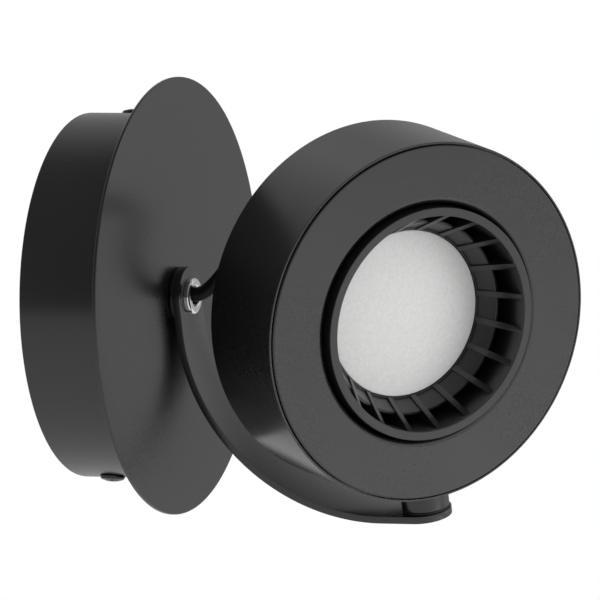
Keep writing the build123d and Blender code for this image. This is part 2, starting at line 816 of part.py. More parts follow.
dome_middle = dome_point(diffuser_radius, diffuser_front, diffuser_front + diffuser_dome)
with BuildPart() as diffuser:
    with BuildSketch(head_section):
        with BuildLine():
            Line((0, ledge_top), (diffuser_radius, ledge_top))
            Line((diffuser_radius, ledge_top), (diffuser_radius, diffuser_front))
            ThreePointArc(
                (diffuser_radius, diffuser_front),
                dome_middle,
                (0, diffuser_front + diffuser_dome),
            )
            Line((0, diffuser_front + diffuser_dome), (0, ledge_top))
        make_face()
    revolve(axis=head_axis)
diffuser.part.label = "diffuser"
export_step(diffuser.part, "parts/diffuser.step")

board_thickness = 1.6
board_top = lamp_floor + board_thickness
with BuildPart() as led_board:
    with BuildSketch(head_plane(lamp_floor)):
        Circle(ledge_inner - 0.2)
        with GridLocations(0, 2 * board_screw_reach, 1, 2):
            Circle(m3_hole_radius, mode=Mode.SUBTRACT)
    extrude(amount=board_thickness)
led_board.part.label = "led_board"
export_step(led_board.part, "parts/led_board.step")

chip_size = 2.8
chip_height = 0.7
chip_circles = [(8.0, 6), (17.5, 12)]
with BuildPart() as led_chips:
    with BuildSketch(head_plane(board_top)):
        Rectangle(chip_size, chip_size)
        for circle, count in chip_circles:
            with PolarLocations(circle, count, start_angle=180 / count):
                Rectangle(chip_size, chip_size)
    extrude(amount=chip_height)
led_chips.part.label = "led_chips"
export_step(led_chips.part, "parts/led_chips.step")

board_screw_length = 3.4
board_screws = pan_head_screws(
    [placed(head_plane(board_top), 0, y) for y in (-board_screw_reach, board_screw_reach)],
    low_m3_head, m3_radius, board_screw_length,
)
board_screws.part.label = "board_screws"
export_step(board_screws.part, "parts/board_screws.step")

# ---- Bridge that carries the lamp in the shell ----
bridge_sheet = 1.5
bridge_half = 18.0
bridge_foot = 27.0
bridge_depth = 14.0
foot_front = back_inside + bridge_sheet
under_top = lamp_back - bridge_sheet
with BuildPart() as lamp_bridge:
    with BuildSketch(head_section):
        with BuildLine():
            Polyline(
                (-bridge_half, lamp_back),
                (bridge_half, lamp_back),
                (bridge_half, foot_front),
                (bridge_foot, foot_front),
                (bridge_foot, back_inside),
                (bridge_half - bridge_sheet, back_inside),
                (bridge_half - bridge_sheet, under_top),
                (bridge_sheet - bridge_half, under_top),
                (bridge_sheet - bridge_half, back_inside),
                (-bridge_foot, back_inside),
                (-bridge_foot, foot_front),
                (-bridge_half, foot_front),
                close=True,
            )
        make_face()
    extrude(amount=bridge_depth / 2, both=True)
    with BuildSketch(head_plane(back_inside)):
        with GridLocations(2 * bridge_screw_reach, 0, 2, 1):
            Circle(m3_hole_radius)
        with GridLocations(2 * lamp_screw_reach, 0, 2, 1):
            Circle(m3_hole_radius)
    extrude(amount=lamp_back - back_inside, mode=Mode.SUBTRACT)
lamp_bridge.part.label = "lamp_bridge"
export_step(lamp_bridge.part, "parts/lamp_bridge.step")

bridge_screw_length = 3.2
bridge_screws = pan_head_screws(
    [placed(head_rear_plane(head_back), x, 0) for x in (-bridge_screw_reach, bridge_screw_reach)],
    wide_m3_head, m3_radius, bridge_screw_length,
)
bridge_screws.part.label = "bridge_screws"
export_step(bridge_screws.part, "parts/bridge_screws.step")

lamp_screw_length = 3.3
lamp_screws = pan_head_screws(
    [placed(head_rear_plane(under_top), x, 0) for x in (-lamp_screw_reach, lamp_screw_reach)],
    m3_head, m3_radius, lamp_screw_length,
)
lamp_screws.part.label = "lamp_screws"
export_step(lamp_screws.part, "parts/lamp_screws.step")

# ---- Cable inside the head, its terminal and its grommet ----
lamp_terminal_width = 12.0
lamp_terminal_height = 10.0
lamp_terminal_depth = 5.0
lamp_terminal_round = 0.8
with BuildPart() as lamp_terminal:
    with BuildSketch(head_plane(lamp_back - lamp_terminal_depth)):
        with Locations((0, grommet_height)):
            RectangleRounded(lamp_terminal_width, lamp_terminal_height, lamp_terminal_round)
    extrude(amount=lamp_terminal_depth)
lamp_terminal.part.label = "lamp_terminal"
export_step(lamp_terminal.part, "parts/lamp_terminal.step")

with BuildPart() as head_lead:
    with BuildSketch(head_plane(head_back - grommet_nose)):
        with Locations((0, grommet_height)):
            Circle(cable_radius)
    extrude(amount=lamp_back - lamp_terminal_depth - head_back + grommet_nose)
head_lead.part.label = "head_lead"
export_step(head_lead.part, "parts/head_lead.step")

flange_radius = 5.2
flange_thickness = 1.5
catch_radius = 4.8            # of the rim that holds the grommet inside the shell
catch_thickness = 1.2
catch_slope = 0.4
nose_radius = 3.0
nose_foot_radius = 4.0
grommet_axis_point = head_plane(0).from_local_coords((0, grommet_height, 0))
grommet_section = Plane(origin=grommet_axis_point, x_dir=head_side, z_dir=arm_down)
with BuildPart() as cable_grommet:
    with BuildSketch(grommet_section):
        with BuildLine():
            Polyline(
                (cord_hole_radius, head_back - grommet_nose),
                (nose_radius, head_back - grommet_nose),
                (nose_foot_radius, head_back - flange_thickness),
                (flange_radius, head_back - flange_thickness),
                (flange_radius, head_back),
                (grommet_neck_radius, head_back),
                (grommet_neck_radius, back_inside),
                (catch_radius, back_inside),
                (catch_radius - catch_slope, back_inside + catch_thickness),
                (cord_hole_radius, back_inside + catch_thickness),
                close=True,
            )
        make_face()
    revolve(axis=Axis(grommet_axis_point, head_front))
cable_grommet.part.label = "cable_grommet"
export_step(cable_grommet.part, "parts/cable_grommet.step")

# ---- Swivel between the arm and the head ----
spacer_down = washer_down - swivel_washer_thickness
with BuildPart() as pivot_spacer:
    with BuildSketch(pivot_plane(spacer_down)):
        Circle(spacer_radius)
        Circle(loose_hole_radius, mode=Mode.SUBTRACT)
    extrude(amount=spacer_down - shell_inner)
    with BuildSketch(head_plane(0)):
        Circle(head_radius)
    extrude(amount=2 * spacer_radius, both=True, mode=Mode.SUBTRACT)
pivot_spacer.part.label = "pivot_spacer"
export_step(pivot_spacer.part, "parts/pivot_spacer.step")

screw_sunk = 0.05
screw_head_radius = 3.85
screw_top = 41.5              # below the head's centre
recess_length = 4.2
recess_width = 0.8
screw_foot = strap_outer - screw_sunk - head_drop
screw_plane = pivot_plane(screw_foot)
with BuildPart() as pivot_screw:
    with BuildSketch(section_of(screw_plane)):
        with BuildLine():
            Polyline(
                (0, 0),
                (screw_head_radius, 0),
                (pivot_thread_radius, screw_head_radius - pivot_thread_radius),
                (pivot_thread_radius, screw_foot - screw_top),
                (0, screw_foot - screw_top),
                close=True,
            )
        make_face()
    revolve(axis=Axis(screw_plane.origin, screw_plane.z_dir))
    with BuildSketch(screw_plane):
        Rectangle(recess_length, recess_width)
        Rectangle(recess_width, recess_length)
    extrude(amount=recess_depth, mode=Mode.SUBTRACT)
pivot_screw.part.label = "pivot_screw"
export_step(pivot_screw.part, "parts/pivot_screw.step")

saddle_top = 46.5             # below the head's centre, as the next two
spring_top = 45.5
nut_height = 3.2
nut_flats = 7.0
saddle_radius = 6.0
spring_radius = 4.5
spring_slot = (3.0, 0.6)
with BuildPart() as saddle_washer:
    with BuildSketch(pivot_plane(head_radius)):
        Circle(saddle_radius)
        Circle(loose_hole_radius, mode=Mode.SUBTRACT)
    extrude(amount=head_radius - saddle_top)
    with BuildSketch(head_plane(0)):
        Circle(shell_inner)
    extrude(amount=head_radius, both=True, mode=Mode.INTERSECT)
saddle_washer.part.label = "saddle_washer"
export_step(saddle_washer.part, "parts/saddle_washer.step")

with BuildPart() as pivot_spring:
    with BuildSketch(pivot_plane(saddle_top)):
        Circle(spring_radius)
        Circle(m4_hole_radius, mode=Mode.SUBTRACT)
        with Locations((spring_radius - spring_slot[0] / 2 + spring_slot[1], 0)):
            Rectangle(*spring_slot, mode=Mode.SUBTRACT)
    extrude(amount=saddle_top - spring_top)
pivot_spring.part.label = "pivot_spring"
export_step(pivot_spring.part, "parts/pivot_spring.step")

pivot_nut = hex_nut(pivot_plane(spring_top), nut_flats, nut_height, m4_hole_radius)
pivot_nut.part.label = "pivot_nut"
export_step(pivot_nut.part, "parts/pivot_nut.step")
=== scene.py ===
import json
import math

import bmesh
import bpy
from bpy.props import FloatProperty, FloatVectorProperty, IntProperty, PointerProperty
from mathutils import Matrix, Vector


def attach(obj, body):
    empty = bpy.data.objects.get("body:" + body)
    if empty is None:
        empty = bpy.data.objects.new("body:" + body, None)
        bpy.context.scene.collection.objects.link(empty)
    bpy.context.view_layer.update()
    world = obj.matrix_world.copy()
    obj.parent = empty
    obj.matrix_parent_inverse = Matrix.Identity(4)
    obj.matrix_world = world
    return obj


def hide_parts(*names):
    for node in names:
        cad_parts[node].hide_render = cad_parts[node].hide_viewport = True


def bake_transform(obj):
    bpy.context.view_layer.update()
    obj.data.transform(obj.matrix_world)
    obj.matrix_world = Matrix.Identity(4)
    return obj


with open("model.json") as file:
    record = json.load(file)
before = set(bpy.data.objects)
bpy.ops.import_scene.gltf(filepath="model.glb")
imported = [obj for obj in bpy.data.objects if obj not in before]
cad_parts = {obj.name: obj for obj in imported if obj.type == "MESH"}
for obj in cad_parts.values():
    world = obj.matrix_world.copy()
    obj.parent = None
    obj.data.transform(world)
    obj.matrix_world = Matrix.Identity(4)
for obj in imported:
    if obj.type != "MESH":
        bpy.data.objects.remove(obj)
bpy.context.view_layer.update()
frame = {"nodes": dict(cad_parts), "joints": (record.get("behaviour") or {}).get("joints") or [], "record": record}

bl_info = {
    "name": "Pivoting Spotlight Wall Light",
    "version": (1, 0, 0),
    "blender": (4, 5, 0),
    "location": "3D View > Sidebar > Wall Light",
    "description": "Builds the visible pieces and finishes of a pivoting spotlight wall light",
    "category": "Add Mesh",
}

MM = 0.001
TINY = 1e-6

# ---- Where things are, read from the frame ----
JOINTS = {joint["name"]: joint for joint in frame["joints"]}
OUTWARD = Vector(JOINTS["arm_swing"]["axis"]).normalized()
DISC_FRONT = Vector(JOINTS["arm_swing"]["pos_m"])
ARM_DOWN = Vector(JOINTS["head_swivel"]["axis"]).normalized()
ARM_SIDE = OUTWARD.cross(ARM_DOWN)
PIVOT = Vector(JOINTS["head_swivel"]["pos_m"])
SWIVEL = math.radians(-sum(JOINTS["head_swivel"]["range_deg"]) / 2)
HEAD_FRONT = OUTWARD * math.cos(SWIVEL) - ARM_SIDE * math.sin(SWIVEL)
HEAD_SIDE = ARM_SIDE * math.cos(SWIVEL) + OUTWARD * math.sin(SWIVEL)
WALL = Vector((0, 0, 0))
RIGHT = Vector((1, 0, 0))


def span(node, origin, direction):
    """Least and greatest distance of a CAD node's points from origin, along a direction."""
    reach = [(v.co - origin).dot(direction) for v in frame["nodes"][node].data.vertices]
    return min(reach), max(reach)


def breadth(node, direction):
    """Half of a CAD node's extent along a direction: a round node's radius."""
    low, high = span(node, WALL, direction)
    return (high - low) / 2


HEAD_CENTRE = PIVOT + ARM_DOWN * sum(span("front_plate", PIVOT, ARM_DOWN)) / 2
CANOPY_DEPTH = span("canopy_drum", WALL, OUTWARD)[1]
STRAP_BACK = span("arm_strap", DISC_FRONT, OUTWARD)[0]
STRAP_OUTER = span("arm_strap", PIVOT, ARM_DOWN)[1]
STRAP_TIP = span("arm_strap", PIVOT, OUTWARD)[1]
HEAD_BACK, SHELL_FRONT = span("head_shell", HEAD_CENTRE, HEAD_FRONT)
PLATE_BACK, HEAD_FACE = span("front_plate", HEAD_CENTRE, HEAD_FRONT)
LAMP_BACK, LAMP_FRONT = span("lamp_body", HEAD_CENTRE, HEAD_FRONT)


def place(origin, across, out):
    """Matrix with these X and Z directions: where a shape made round its own Z axis is put."""
    matrix = Matrix((across, out.cross(across), out)).transposed().to_4x4()
    matrix.translation = origin
    return matrix


CANOPY_PLACE = place(WALL, RIGHT, OUTWARD)
ARM_PLACE = place(DISC_FRONT, ARM_SIDE, OUTWARD)
HEAD_PLACE = place(HEAD_CENTRE, HEAD_SIDE, HEAD_FRONT)
PIVOT_PLACE = place(PIVOT, HEAD_SIDE, -ARM_DOWN)


def arm_point(side, down, reach):
    """Point by its place across the strap, down the arm and in front of the disc."""
    return DISC_FRONT + ARM_SIDE * side + ARM_DOWN * down + OUTWARD * reach


# ---- Sizes and colours a user would change ----
def length(name, description, default):
    return FloatProperty(
        name=name, description=description, default=default, unit="LENGTH", precision=5
    )


def colour(name, description, default):
    return FloatVectorProperty(
        name=name, description=description, default=default, size=3, min=0, max=1, subtype="COLOR"
    )


class CanopySizes(bpy.types.PropertyGroup):
    """Sizes of the round canopy and its disc."""

    drum_radius: length("Drum radius", "Outside of the drum", breadth("canopy_drum", RIGHT))
    disc_radius: length("Disc radius", "Outside of the disc", breadth("backplate_disc", RIGHT))
    sheet: length("Sheet", "Thickness of the drum's sheet", 1.2 * MM)
    hole_radius: length("Bolt hole", "Radius of the hole for the bolt", 4.05 * MM)
    edge_round: length("Edge round", "Rounding of the drum's and the disc's edges", 0.28 * MM)


class ArmSizes(bpy.types.PropertyGroup):
    """Sizes of the strap, its bolt and its washers."""

    width: length("Width", "Width of the strap", 2 * breadth("friction_washer", ARM_SIDE))
    thickness: length("Thickness", "Thickness of the strap", 2.0 * MM)
    bend_radius: length("Bend radius", "Inside of the quarter bend", 52.0 * MM)
    edge_round: length("Edge round", "Rounding of the strap's edges", 0.15 * MM)
    bolt_radius: length("Bolt head", "Radius of the bolt's head", breadth("hollow_bolt", RIGHT))
    bore_radius: length("Bolt bore", "Radius of the bore for the cable", 2.6 * MM)
    shank_radius: length("Bolt shank", "Radius of the bolt's shank", 4.0 * MM)


class HeadSizes(bpy.types.PropertyGroup):
    """Sizes of the drum-shaped head."""

    radius: length("Radius", "Outside of the shell", breadth("head_shell", ARM_DOWN))
    sheet: length("Sheet", "Thickness of the shell", 1.2 * MM)
    edge_round: length("Edge round", "Rounding of the shell's edges", 1.0 * MM)
    plate_radius: length("Plate", "Outside of the front plate", breadth("front_plate", ARM_DOWN))
    plate_round: length("Plate round", "Rounding of the plate's outer edge", 0.5 * MM)
    opening: length("Opening", "Radius of the plate's opening", 33.0 * MM)
    opening_round: length("Opening round", "Rounding of the opening's edge", 1.5 * MM)
    lip: length("Lip", "Thickness of the shell's edge round the plate", 0.5 * MM)
    lip_depth: length("Lip depth", "Depth of the seat behind the plate's face", 2.1 * MM)


class LampSizes(bpy.types.PropertyGroup):
    """Sizes of the finned lamp."""

    radius: length("Radius", "Outside of the lamp's ring", breadth("lamp_body", ARM_DOWN))
    ring_inner: length("Ring inside", "Inside of the lamp's ring", 29.95 * MM)
    ring_round: length("Ring round", "Rounding of the ring's front edges", 0.25 * MM)
    fin_thickness: length("Fin thickness", "Thickness of a fin", 1.8 * MM)
    fin_start: FloatProperty(
        name="First fin", description="Degrees from the head's side to the first fin", default=-0.9
    )
    diffuser_radius: length("Diffuser", "Radius of the diffuser", breadth("diffuser", ARM_DOWN))
    fin_count: IntProperty(name="Fins", description="Number of radial fins", default=20, min=3)


class CableSizes(bpy.types.PropertyGroup):
    """Sizes of the cable from the bolt to the head."""

    diameter: length("Diameter", "Outside of the cable", 4.0 * MM)
    sides: IntProperty(name="Sides", description="Sides of the cable's mesh", default=24, min=8)


class FinishColours(bpy.types.PropertyGroup):
    """Colours of the finishes."""

    coat: colour("Powder coat", "Matt black coat of canopy, arm and head", (0.0056, 0.0056, 0.0058))
    casting: colour("Lamp coat", "Black coat of the finned lamp", (0.0060, 0.0060, 0.0062))
    chrome: colour("Chrome", "Bright plating of the bolt", (0.86, 0.87, 0.88))
    frosted: colour("Diffuser", "Frosted diffuser", (0.66, 0.66, 0.655))
    cable: colour("Cable", "Sheath of the cable", (0.0045, 0.0045, 0.0047))


SETTINGS = {
    "light_canopy": CanopySizes,
    "light_arm": ArmSizes,
    "light_head": HeadSizes,
    "light_lamp": LampSizes,
    "light_cable": CableSizes,
    "light_colours": FinishColours,
}


# ---- Node trees ----
class Value:
    """A socket of a node tree. Arithmetic on it adds Math nodes."""

    def __init__(self, tree, socket):
        self.tree = tree
        self.socket = socket

    def math(self, operation, first, second):
        return self.tree.add("ShaderNodeMath", {"operation": operation}, {0: first, 1: second})

    def __add__(self, other):
        return self.math("ADD", self, other)

    def __mul__(self, other):
        return self.math("MULTIPLY", self, other)

    __radd__ = __add__
    __rmul__ = __mul__


class Tree:
    """A node tree, with one method that adds any node."""

    def __init__(self, tree):
        self.tree = tree

    def add(self, kind, settings=None, inputs=None, output=0):
        """Adds a node, sets it, fills or links its inputs, and returns one of its outputs."""
        node = self.tree.nodes.new(kind)
        for key, value in (settings or {}).items():
            if key == "stops":
                node.color_ramp.elements.remove(node.color_ramp.elements[1])
                for index, (position, stop) in enumerate(value):
                    ramp = node.color_ramp.elements
                    element = ramp[0] if index == 0 else ramp.new(position)
                    element.position = position
                    element.color = stop
            else:
                setattr(node, key, value)
        for key, value in (inputs or {}).items():
            if isinstance(value, Value):
                self.tree.links.new(value.socket, node.inputs[key])
            else:
                node.inputs[key].default_value = value
        return Value(self, node.outputs[output]) if node.outputs else None

    def noise(self, coordinates, scale, detail=2.0, roughness=0.5):
        """Noise from 0 to 1; scale is in features per metre."""
        return self.add(
            "ShaderNodeTexNoise",
            {},
            {"Vector": coordinates, "Scale": scale, "Detail": detail, "Roughness": roughness},
        )

    def spread(self, value, low, high, start=0.3, end=0.7):
        """A value from start to end, where most noise lies, stretched over low to high."""
        return self.add(
            "ShaderNodeMapRange",
            {"interpolation_type": "SMOOTHSTEP"},
            {"Value": value, "From Min": start, "From Max": end, "To Min": low, "To Max": high},
        )

    def tint(self, factor, dark, light):
        """Mix of two colours."""
        return self.add(
            "ShaderNodeMix",
            {"data_type": "RGBA"},
            {0: factor, 6: (*dark, 1), 7: (*light, 1)},
            output=2,
        )

    def bump(self, height, distance, strength=1.0):
        """Normal from a height field."""
        return self.add(
            "ShaderNodeBump", {}, {"Height": height, "Distance": distance, "Strength": strength}
        )


def scaled(rgb, factor):
    """A colour made darker or lighter."""
    return tuple(min(1.0, channel * factor) for channel in rgb)


def finish(name, surface, constants, paint):
    """A material: constants go on the shader's own sockets, paint(tree, coordinates) on the rest."""
    material = bpy.data.materials.get(name) or bpy.data.materials.new(name)
    material.use_nodes = True
    material.node_tree.nodes.clear()
    tree = Tree(material.node_tree)
    coordinates = tree.add("ShaderNodeTexCoord", output=3)
    inputs = {**constants, **paint(tree, coordinates)}
    shader = tree.add("ShaderNodeBsdfPrincipled", {}, inputs)
    tree.add("ShaderNodeOutputMaterial", {}, {"Surface": shader})
    material.diffuse_color = (*surface, 1)
    return material


def powder_coat(name, rgb, roughness, grain):
    """Matt coat: a fine orange peel, faint mottling and a little uneven gloss."""

    def paint(tree, coordinates):
        peel = tree.noise(coordinates, 1700.0, 3.0, 0.6)
        dust = tree.noise(coordinates, 5200.0, 1.0)
        cloud = tree.noise(coordinates, 28.0, 2.0)
        mottle = tree.spread(peel * 0.5 + dust * 0.3 + cloud * 0.2, 0.0, 1.0)
        return {
            "Base Color": tree.tint(mottle, scaled(rgb, 0.86), scaled(rgb, 1.16)),
            "Roughness": tree.spread(cloud * 0.6 + peel * 0.4, roughness - 0.03, roughness + 0.04),
            "Normal": tree.bump(peel * 0.75 + dust * 0.25, grain),
        }

    return finish(name, rgb, {"Specular IOR Level": 0.78}, paint)


def plated(name, rgb, roughness, marks):
    """Plated metal with faint turning or rolling marks and a little haze."""

    def paint(tree, coordinates):
        haze = tree.noise(coordinates, 320.0, 3.0)
        fine = tree.noise(coordinates, 4200.0, 2.0)
        return {
            "Base Color": tree.tint(haze, scaled(rgb, 0.92), rgb),
            "Roughness": tree.spread(haze * 0.6 + fine * 0.4, roughness * 0.75, roughness * 1.4),
            "Normal": tree.bump(fine, marks),
        }

    return finish(name, rgb, {"Metallic": 1.0}, paint)


def galvanised(name, rgb):
    """Zinc-coated sheet with its crystal flakes."""

    def paint(tree, coordinates):
        flakes = tree.add(
            "ShaderNodeTexVoronoi", {}, {"Vector": coordinates, "Scale": 260.0}, output=1
        )
        grey = tree.add("ShaderNodeSeparateColor", {}, {"Color": flakes})
        fine = tree.noise(coordinates, 3000.0, 2.0)
        return {
            "Base Color": tree.tint(grey, scaled(rgb, 0.8), scaled(rgb, 1.1)),
            "Roughness": tree.spread(grey * 0.7 + fine * 0.3, 0.32, 0.52),
            "Normal": tree.bump(grey * 0.3 + fine * 0.7, 0.01 * MM),
        }

    return finish(name, rgb, {"Metallic": 1.0}, paint)


def moulded(name, rgb, roughness, grain, shine=0.5):
    """Moulded plastic or rubber: fine grain and slight changes of gloss."""

    def paint(tree, coordinates):
        fine = tree.noise(coordinates, 2600.0, 2.0)
        flow = tree.noise(coordinates, 90.0, 2.0)
        return {
            "Base Color": tree.tint(flow * 0.6 + fine * 0.4, scaled(rgb, 0.93), scaled(rgb, 1.05)),
            "Roughness": tree.spread(flow, roughness - 0.05, roughness + 0.05),
            "Normal": tree.bump(fine, grain),
        }

    return finish(name, rgb, {"Specular IOR Level": shine}, paint)


def frosted(name, rgb):
    """Frosted diffuser: an etched surface with fine bright and dark grain."""

    def paint(tree, coordinates):
        etch = tree.noise(coordinates, 2400.0, 4.0, 0.65)
        specks = tree.noise(coordinates, 900.0, 2.0)
        mottle = tree.spread(etch * 0.7 + specks * 0.3, 0, 1)
        return {
            "Base Color": tree.tint(mottle, scaled(rgb, 0.9), scaled(rgb, 1.06)),
            "Roughness": tree.spread(etch, 0.52, 0.66),
            "Normal": tree.bump(etch, 0.03 * MM),
        }

    return finish(name, rgb, {"Specular IOR Level": 0.35}, paint)


def make_materials(colours):
    """All the finishes, by name."""
    white = (0.72, 0.72, 0.70)
    return {
        "black_coat": powder_coat("black_coat", colours.coat, 0.25, 0.006 * MM),
        "black_alloy": powder_coat("black_alloy", colours.casting, 0.30, 0.010 * MM),
        "black_steel": plated("black_steel", (0.05, 0.05, 0.052), 0.26, 0.003 * MM),
        "zinc_steel": plated("zinc_steel", (0.62, 0.63, 0.65), 0.30, 0.004 * MM),
        "bright_chrome": plated("bright_chrome", colours.chrome, 0.09, 0.0006 * MM),
        "galvanised": galvanised("galvanised", (0.55, 0.56, 0.58)),
        "black_plastic": moulded("black_plastic", (0.014, 0.014, 0.015), 0.42, 0.008 * MM),
        "cable_black": moulded("cable_black", colours.cable, 0.36, 0.004 * MM, 0.22),
        "rubber_black": moulded("rubber_black", (0.016, 0.016, 0.017), 0.6, 0.012 * MM),
        "white_plastic": moulded("white_plastic", white, 0.42, 0.006 * MM),
        "driver_case": moulded("driver_case", (0.62, 0.62, 0.61), 0.45, 0.008 * MM),
        "brass": plated("brass", (0.78, 0.62, 0.32), 0.24, 0.002 * MM),
        "wire_red": moulded("wire_red", (0.42, 0.025, 0.02), 0.35, 0.002 * MM),
        "wire_blue": moulded("wire_blue", (0.03, 0.09, 0.34), 0.35, 0.002 * MM),
        "frosted": frosted("frosted", colours.frosted),
        "board_white": moulded("board_white", (0.74, 0.75, 0.75), 0.32, 0.002 * MM),
        "led_yellow": moulded("led_yellow", (0.78, 0.62, 0.16), 0.5, 0.004 * MM),
    }


# ---- Mesh making ----
ROUND_STEPS = 5
GUARD = 0.12  # ring beside a rounding that keeps the flat face flat, as a share of its radius
TURN_STEPS = 256
SMALL_TURN_STEPS = 128
END_STEPS = 16
BEND_STEPS = 72
DOME_STEPS = 24


def rounded(corners):
    """Closed outline through (radius, height) corners; a third number rounds that corner."""
    points = []
    count = len(corners)
    for index, corner in enumerate(corners):
        here = Vector(corner[:2])
        if len(corner) == 2:
            points.append(here)
            continue
        before = (Vector(corners[index - 1][:2]) - here).normalized()
        after = (Vector(corners[(index + 1) % count][:2]) - here).normalized()
        half = before.angle(after) / 2
        cut = corner[2] / math.tan(half)
        centre = here + (before + after).normalized() * (corner[2] / math.sin(half))
        first, last = here + before * cut - centre, here + after * cut - centre
        sweep = first.angle(last)
        points.append(centre + first + before * corner[2] * GUARD)
        for step in range(ROUND_STEPS + 1):
            turn = sweep * step / ROUND_STEPS
            weights = math.sin(sweep - turn), math.sin(turn)
            points.append(centre + (first * weights[0] + last * weights[1]) / math.sin(sweep))
        points.append(centre + last + after * corner[2] * GUARD)
    return points


def lathe(outline, steps=TURN_STEPS):
    """Mesh of a closed outline turned round Z. Points on the axis become poles."""
    mesh = bmesh.new()
    rings = []
    for radius, height in outline:
        if radius < TINY:
            rings.append([mesh.verts.new((0, 0, height))])
            continue
        rings.append([
            mesh.verts.new((
                radius * math.cos(2 * math.pi * step / steps),
                radius * math.sin(2 * math.pi * step / steps),
                height,
            ))
            for step in range(steps)
        ])
    for ring, following in zip(rings, rings[1:] + rings[:1]):
        if len(ring) == 1 and len(following) == 1:
            continue
        for step in range(steps):
            corners = [
                ring[step % len(ring)],
                ring[(step + 1) % len(ring)],
                following[(step + 1) % len(following)],
                following[step % len(following)],
            ]
            mesh.faces.new(list(dict.fromkeys(corners)))
    bmesh.ops.recalc_face_normals(mesh, faces=mesh.faces)
    return mesh


def cross_cutter(top, size, depth):
    """Tapered cross whose upper face stands on top, to cut a screw's recess with."""
    mesh = bmesh.new()
    for turn in (0, math.pi / 2):
        arm = bmesh.ops.create_cube(mesh, size=1)["verts"]
        for vert in arm:
            low = vert.co.z < 0
            reach = size * (0.45 if low else 1.0)
            vert.co = Vector((
                vert.co.x * 2 * reach,
                vert.co.y * size * 0.32,
                top - depth if low else top + depth * 0.2,
            ))
        bmesh.ops.rotate(mesh, verts=arm, matrix=Matrix.Rotation(turn, 3, "Z"))
    return mesh


def as_object(mesh, name, matrix=None, slot=None):
    """New object at the origin, with the bmesh moved to its place in the mesh."""
    if matrix is not None:
        mesh.transform(matrix)
    data = bpy.data.meshes.new(name)
    mesh.to_mesh(data)
    mesh.free()
    piece = bpy.data.objects.new(name, data)
    bpy.context.scene.collection.objects.link(piece)
    if slot:
        data.materials.append(bpy.data.materials[slot])
    return piece


def baked(piece):
    """The same object with its modifiers worked into its mesh."""
    bpy.context.view_layer.update()
    evaluated = piece.evaluated_get(bpy.context.evaluated_depsgraph_get())
    data = bpy.data.meshes.new_from_object(evaluated)
    data.name = piece.name
    piece.modifiers.clear()
    old = piece.data
    piece.data = data
    bpy.data.meshes.remove(old)
    return piece


def remove(helper):
    """Takes away an object that was only a help, with its mesh."""
    data = helper.data
    bpy.data.objects.remove(helper)
    bpy.data.meshes.remove(data)


def cut(piece, cutter):
    """Cuts the piece with a bmesh that stands in its place already."""
    helper = as_object(cutter, "cutter")
    modifier = piece.modifiers.new("cut", "BOOLEAN")
    modifier.operation = "DIFFERENCE"
    modifier.solver = "EXACT"
    modifier.use_self = True
    modifier.object = helper
    baked(piece)
    remove(helper)
    return piece


def round_edges(piece, width, segments, angle):
    """Bevel on the edges sharper than an angle in degrees, kept as a modifier."""
    bevel = piece.modifiers.new("edges", "BEVEL")
    bevel.width = width
    bevel.segments = segments
    bevel.limit_method = "ANGLE"
    bevel.angle_limit = math.radians(angle)


def smooth(piece, degrees):
    """Smooth shading that keeps edges sharper than this angle."""
    piece.data.polygons.foreach_set("use_smooth", [True] * len(piece.data.polygons))
    piece.data.set_sharp_from_angle(angle=math.radians(degrees))
    return piece


def settle(piece, body, node, crease=32):
    """Puts a finished piece on its body, in the place of its CAD node."""
    smooth(piece, crease)
    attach(piece, body)
    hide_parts(node)
    return piece


def turned_piece(name, outline, matrix, slot, body, node, steps=TURN_STEPS):
    """Piece turned from an outline and put on its body, in the place of its CAD node."""
    piece = as_object(lathe(rounded(outline), steps), name, matrix, slot)
    return settle(piece, body, node)


# ---- Geometry Nodes ----
def socket_of(group, name):
    """Identifier of a tree's input, for setting it on a modifier."""
    return next(
        item.identifier for item in group.interface.items_tree
        if item.item_type == "SOCKET" and item.in_out == "INPUT" and item.name == name
    )


def copying_tree(name, *inputs):
    """Geometry tree with these (name, type, default) inputs besides its geometry and material.

    Returns the tree and its input sockets by name.
    """
    group = bpy.data.node_groups.new(name, "GeometryNodeTree")
    group.interface.new_socket("Geometry", in_out="OUTPUT", socket_type="NodeSocketGeometry")
    group.interface.new_socket("Geometry", in_out="INPUT", socket_type="NodeSocketGeometry")
    for label, kind, default in (*inputs, ("Material", "NodeSocketMaterial", None)):
        item = group.interface.new_socket(label, in_out="INPUT", socket_type=kind)
        if default is not None:
            item.default_value = default
    tree = Tree(group)
    given = group.nodes.new("NodeGroupInput")
    return tree, {socket.name: Value(tree, socket) for socket in given.outputs if socket.name}


def end_with_copies(tree, material, points, form, rotation):
    """Ends a tree with real copies of the form on its points, in one material."""
    copies = tree.add(
        "GeometryNodeInstanceOnPoints", {},
        {"Points": points, "Instance": form, "Rotation": rotation},
    )
    real = tree.add("GeometryNodeRealizeInstances", {}, {"Geometry": copies})
    painted = tree.add("GeometryNodeSetMaterial", {}, {"Geometry": real, "Material": material})
    tree.add("NodeGroupOutput", {}, {0: painted})
    return tree.tree


def run_group(piece, group, values):
    """Runs a tree on the piece with these named inputs and keeps the result as its mesh."""
    modifier = piece.modifiers.new(group.name, "NODES")
    modifier.node_group = group
    for name, value in values.items():
        modifier[socket_of(group, name)] = value
    baked(piece)
    return piece


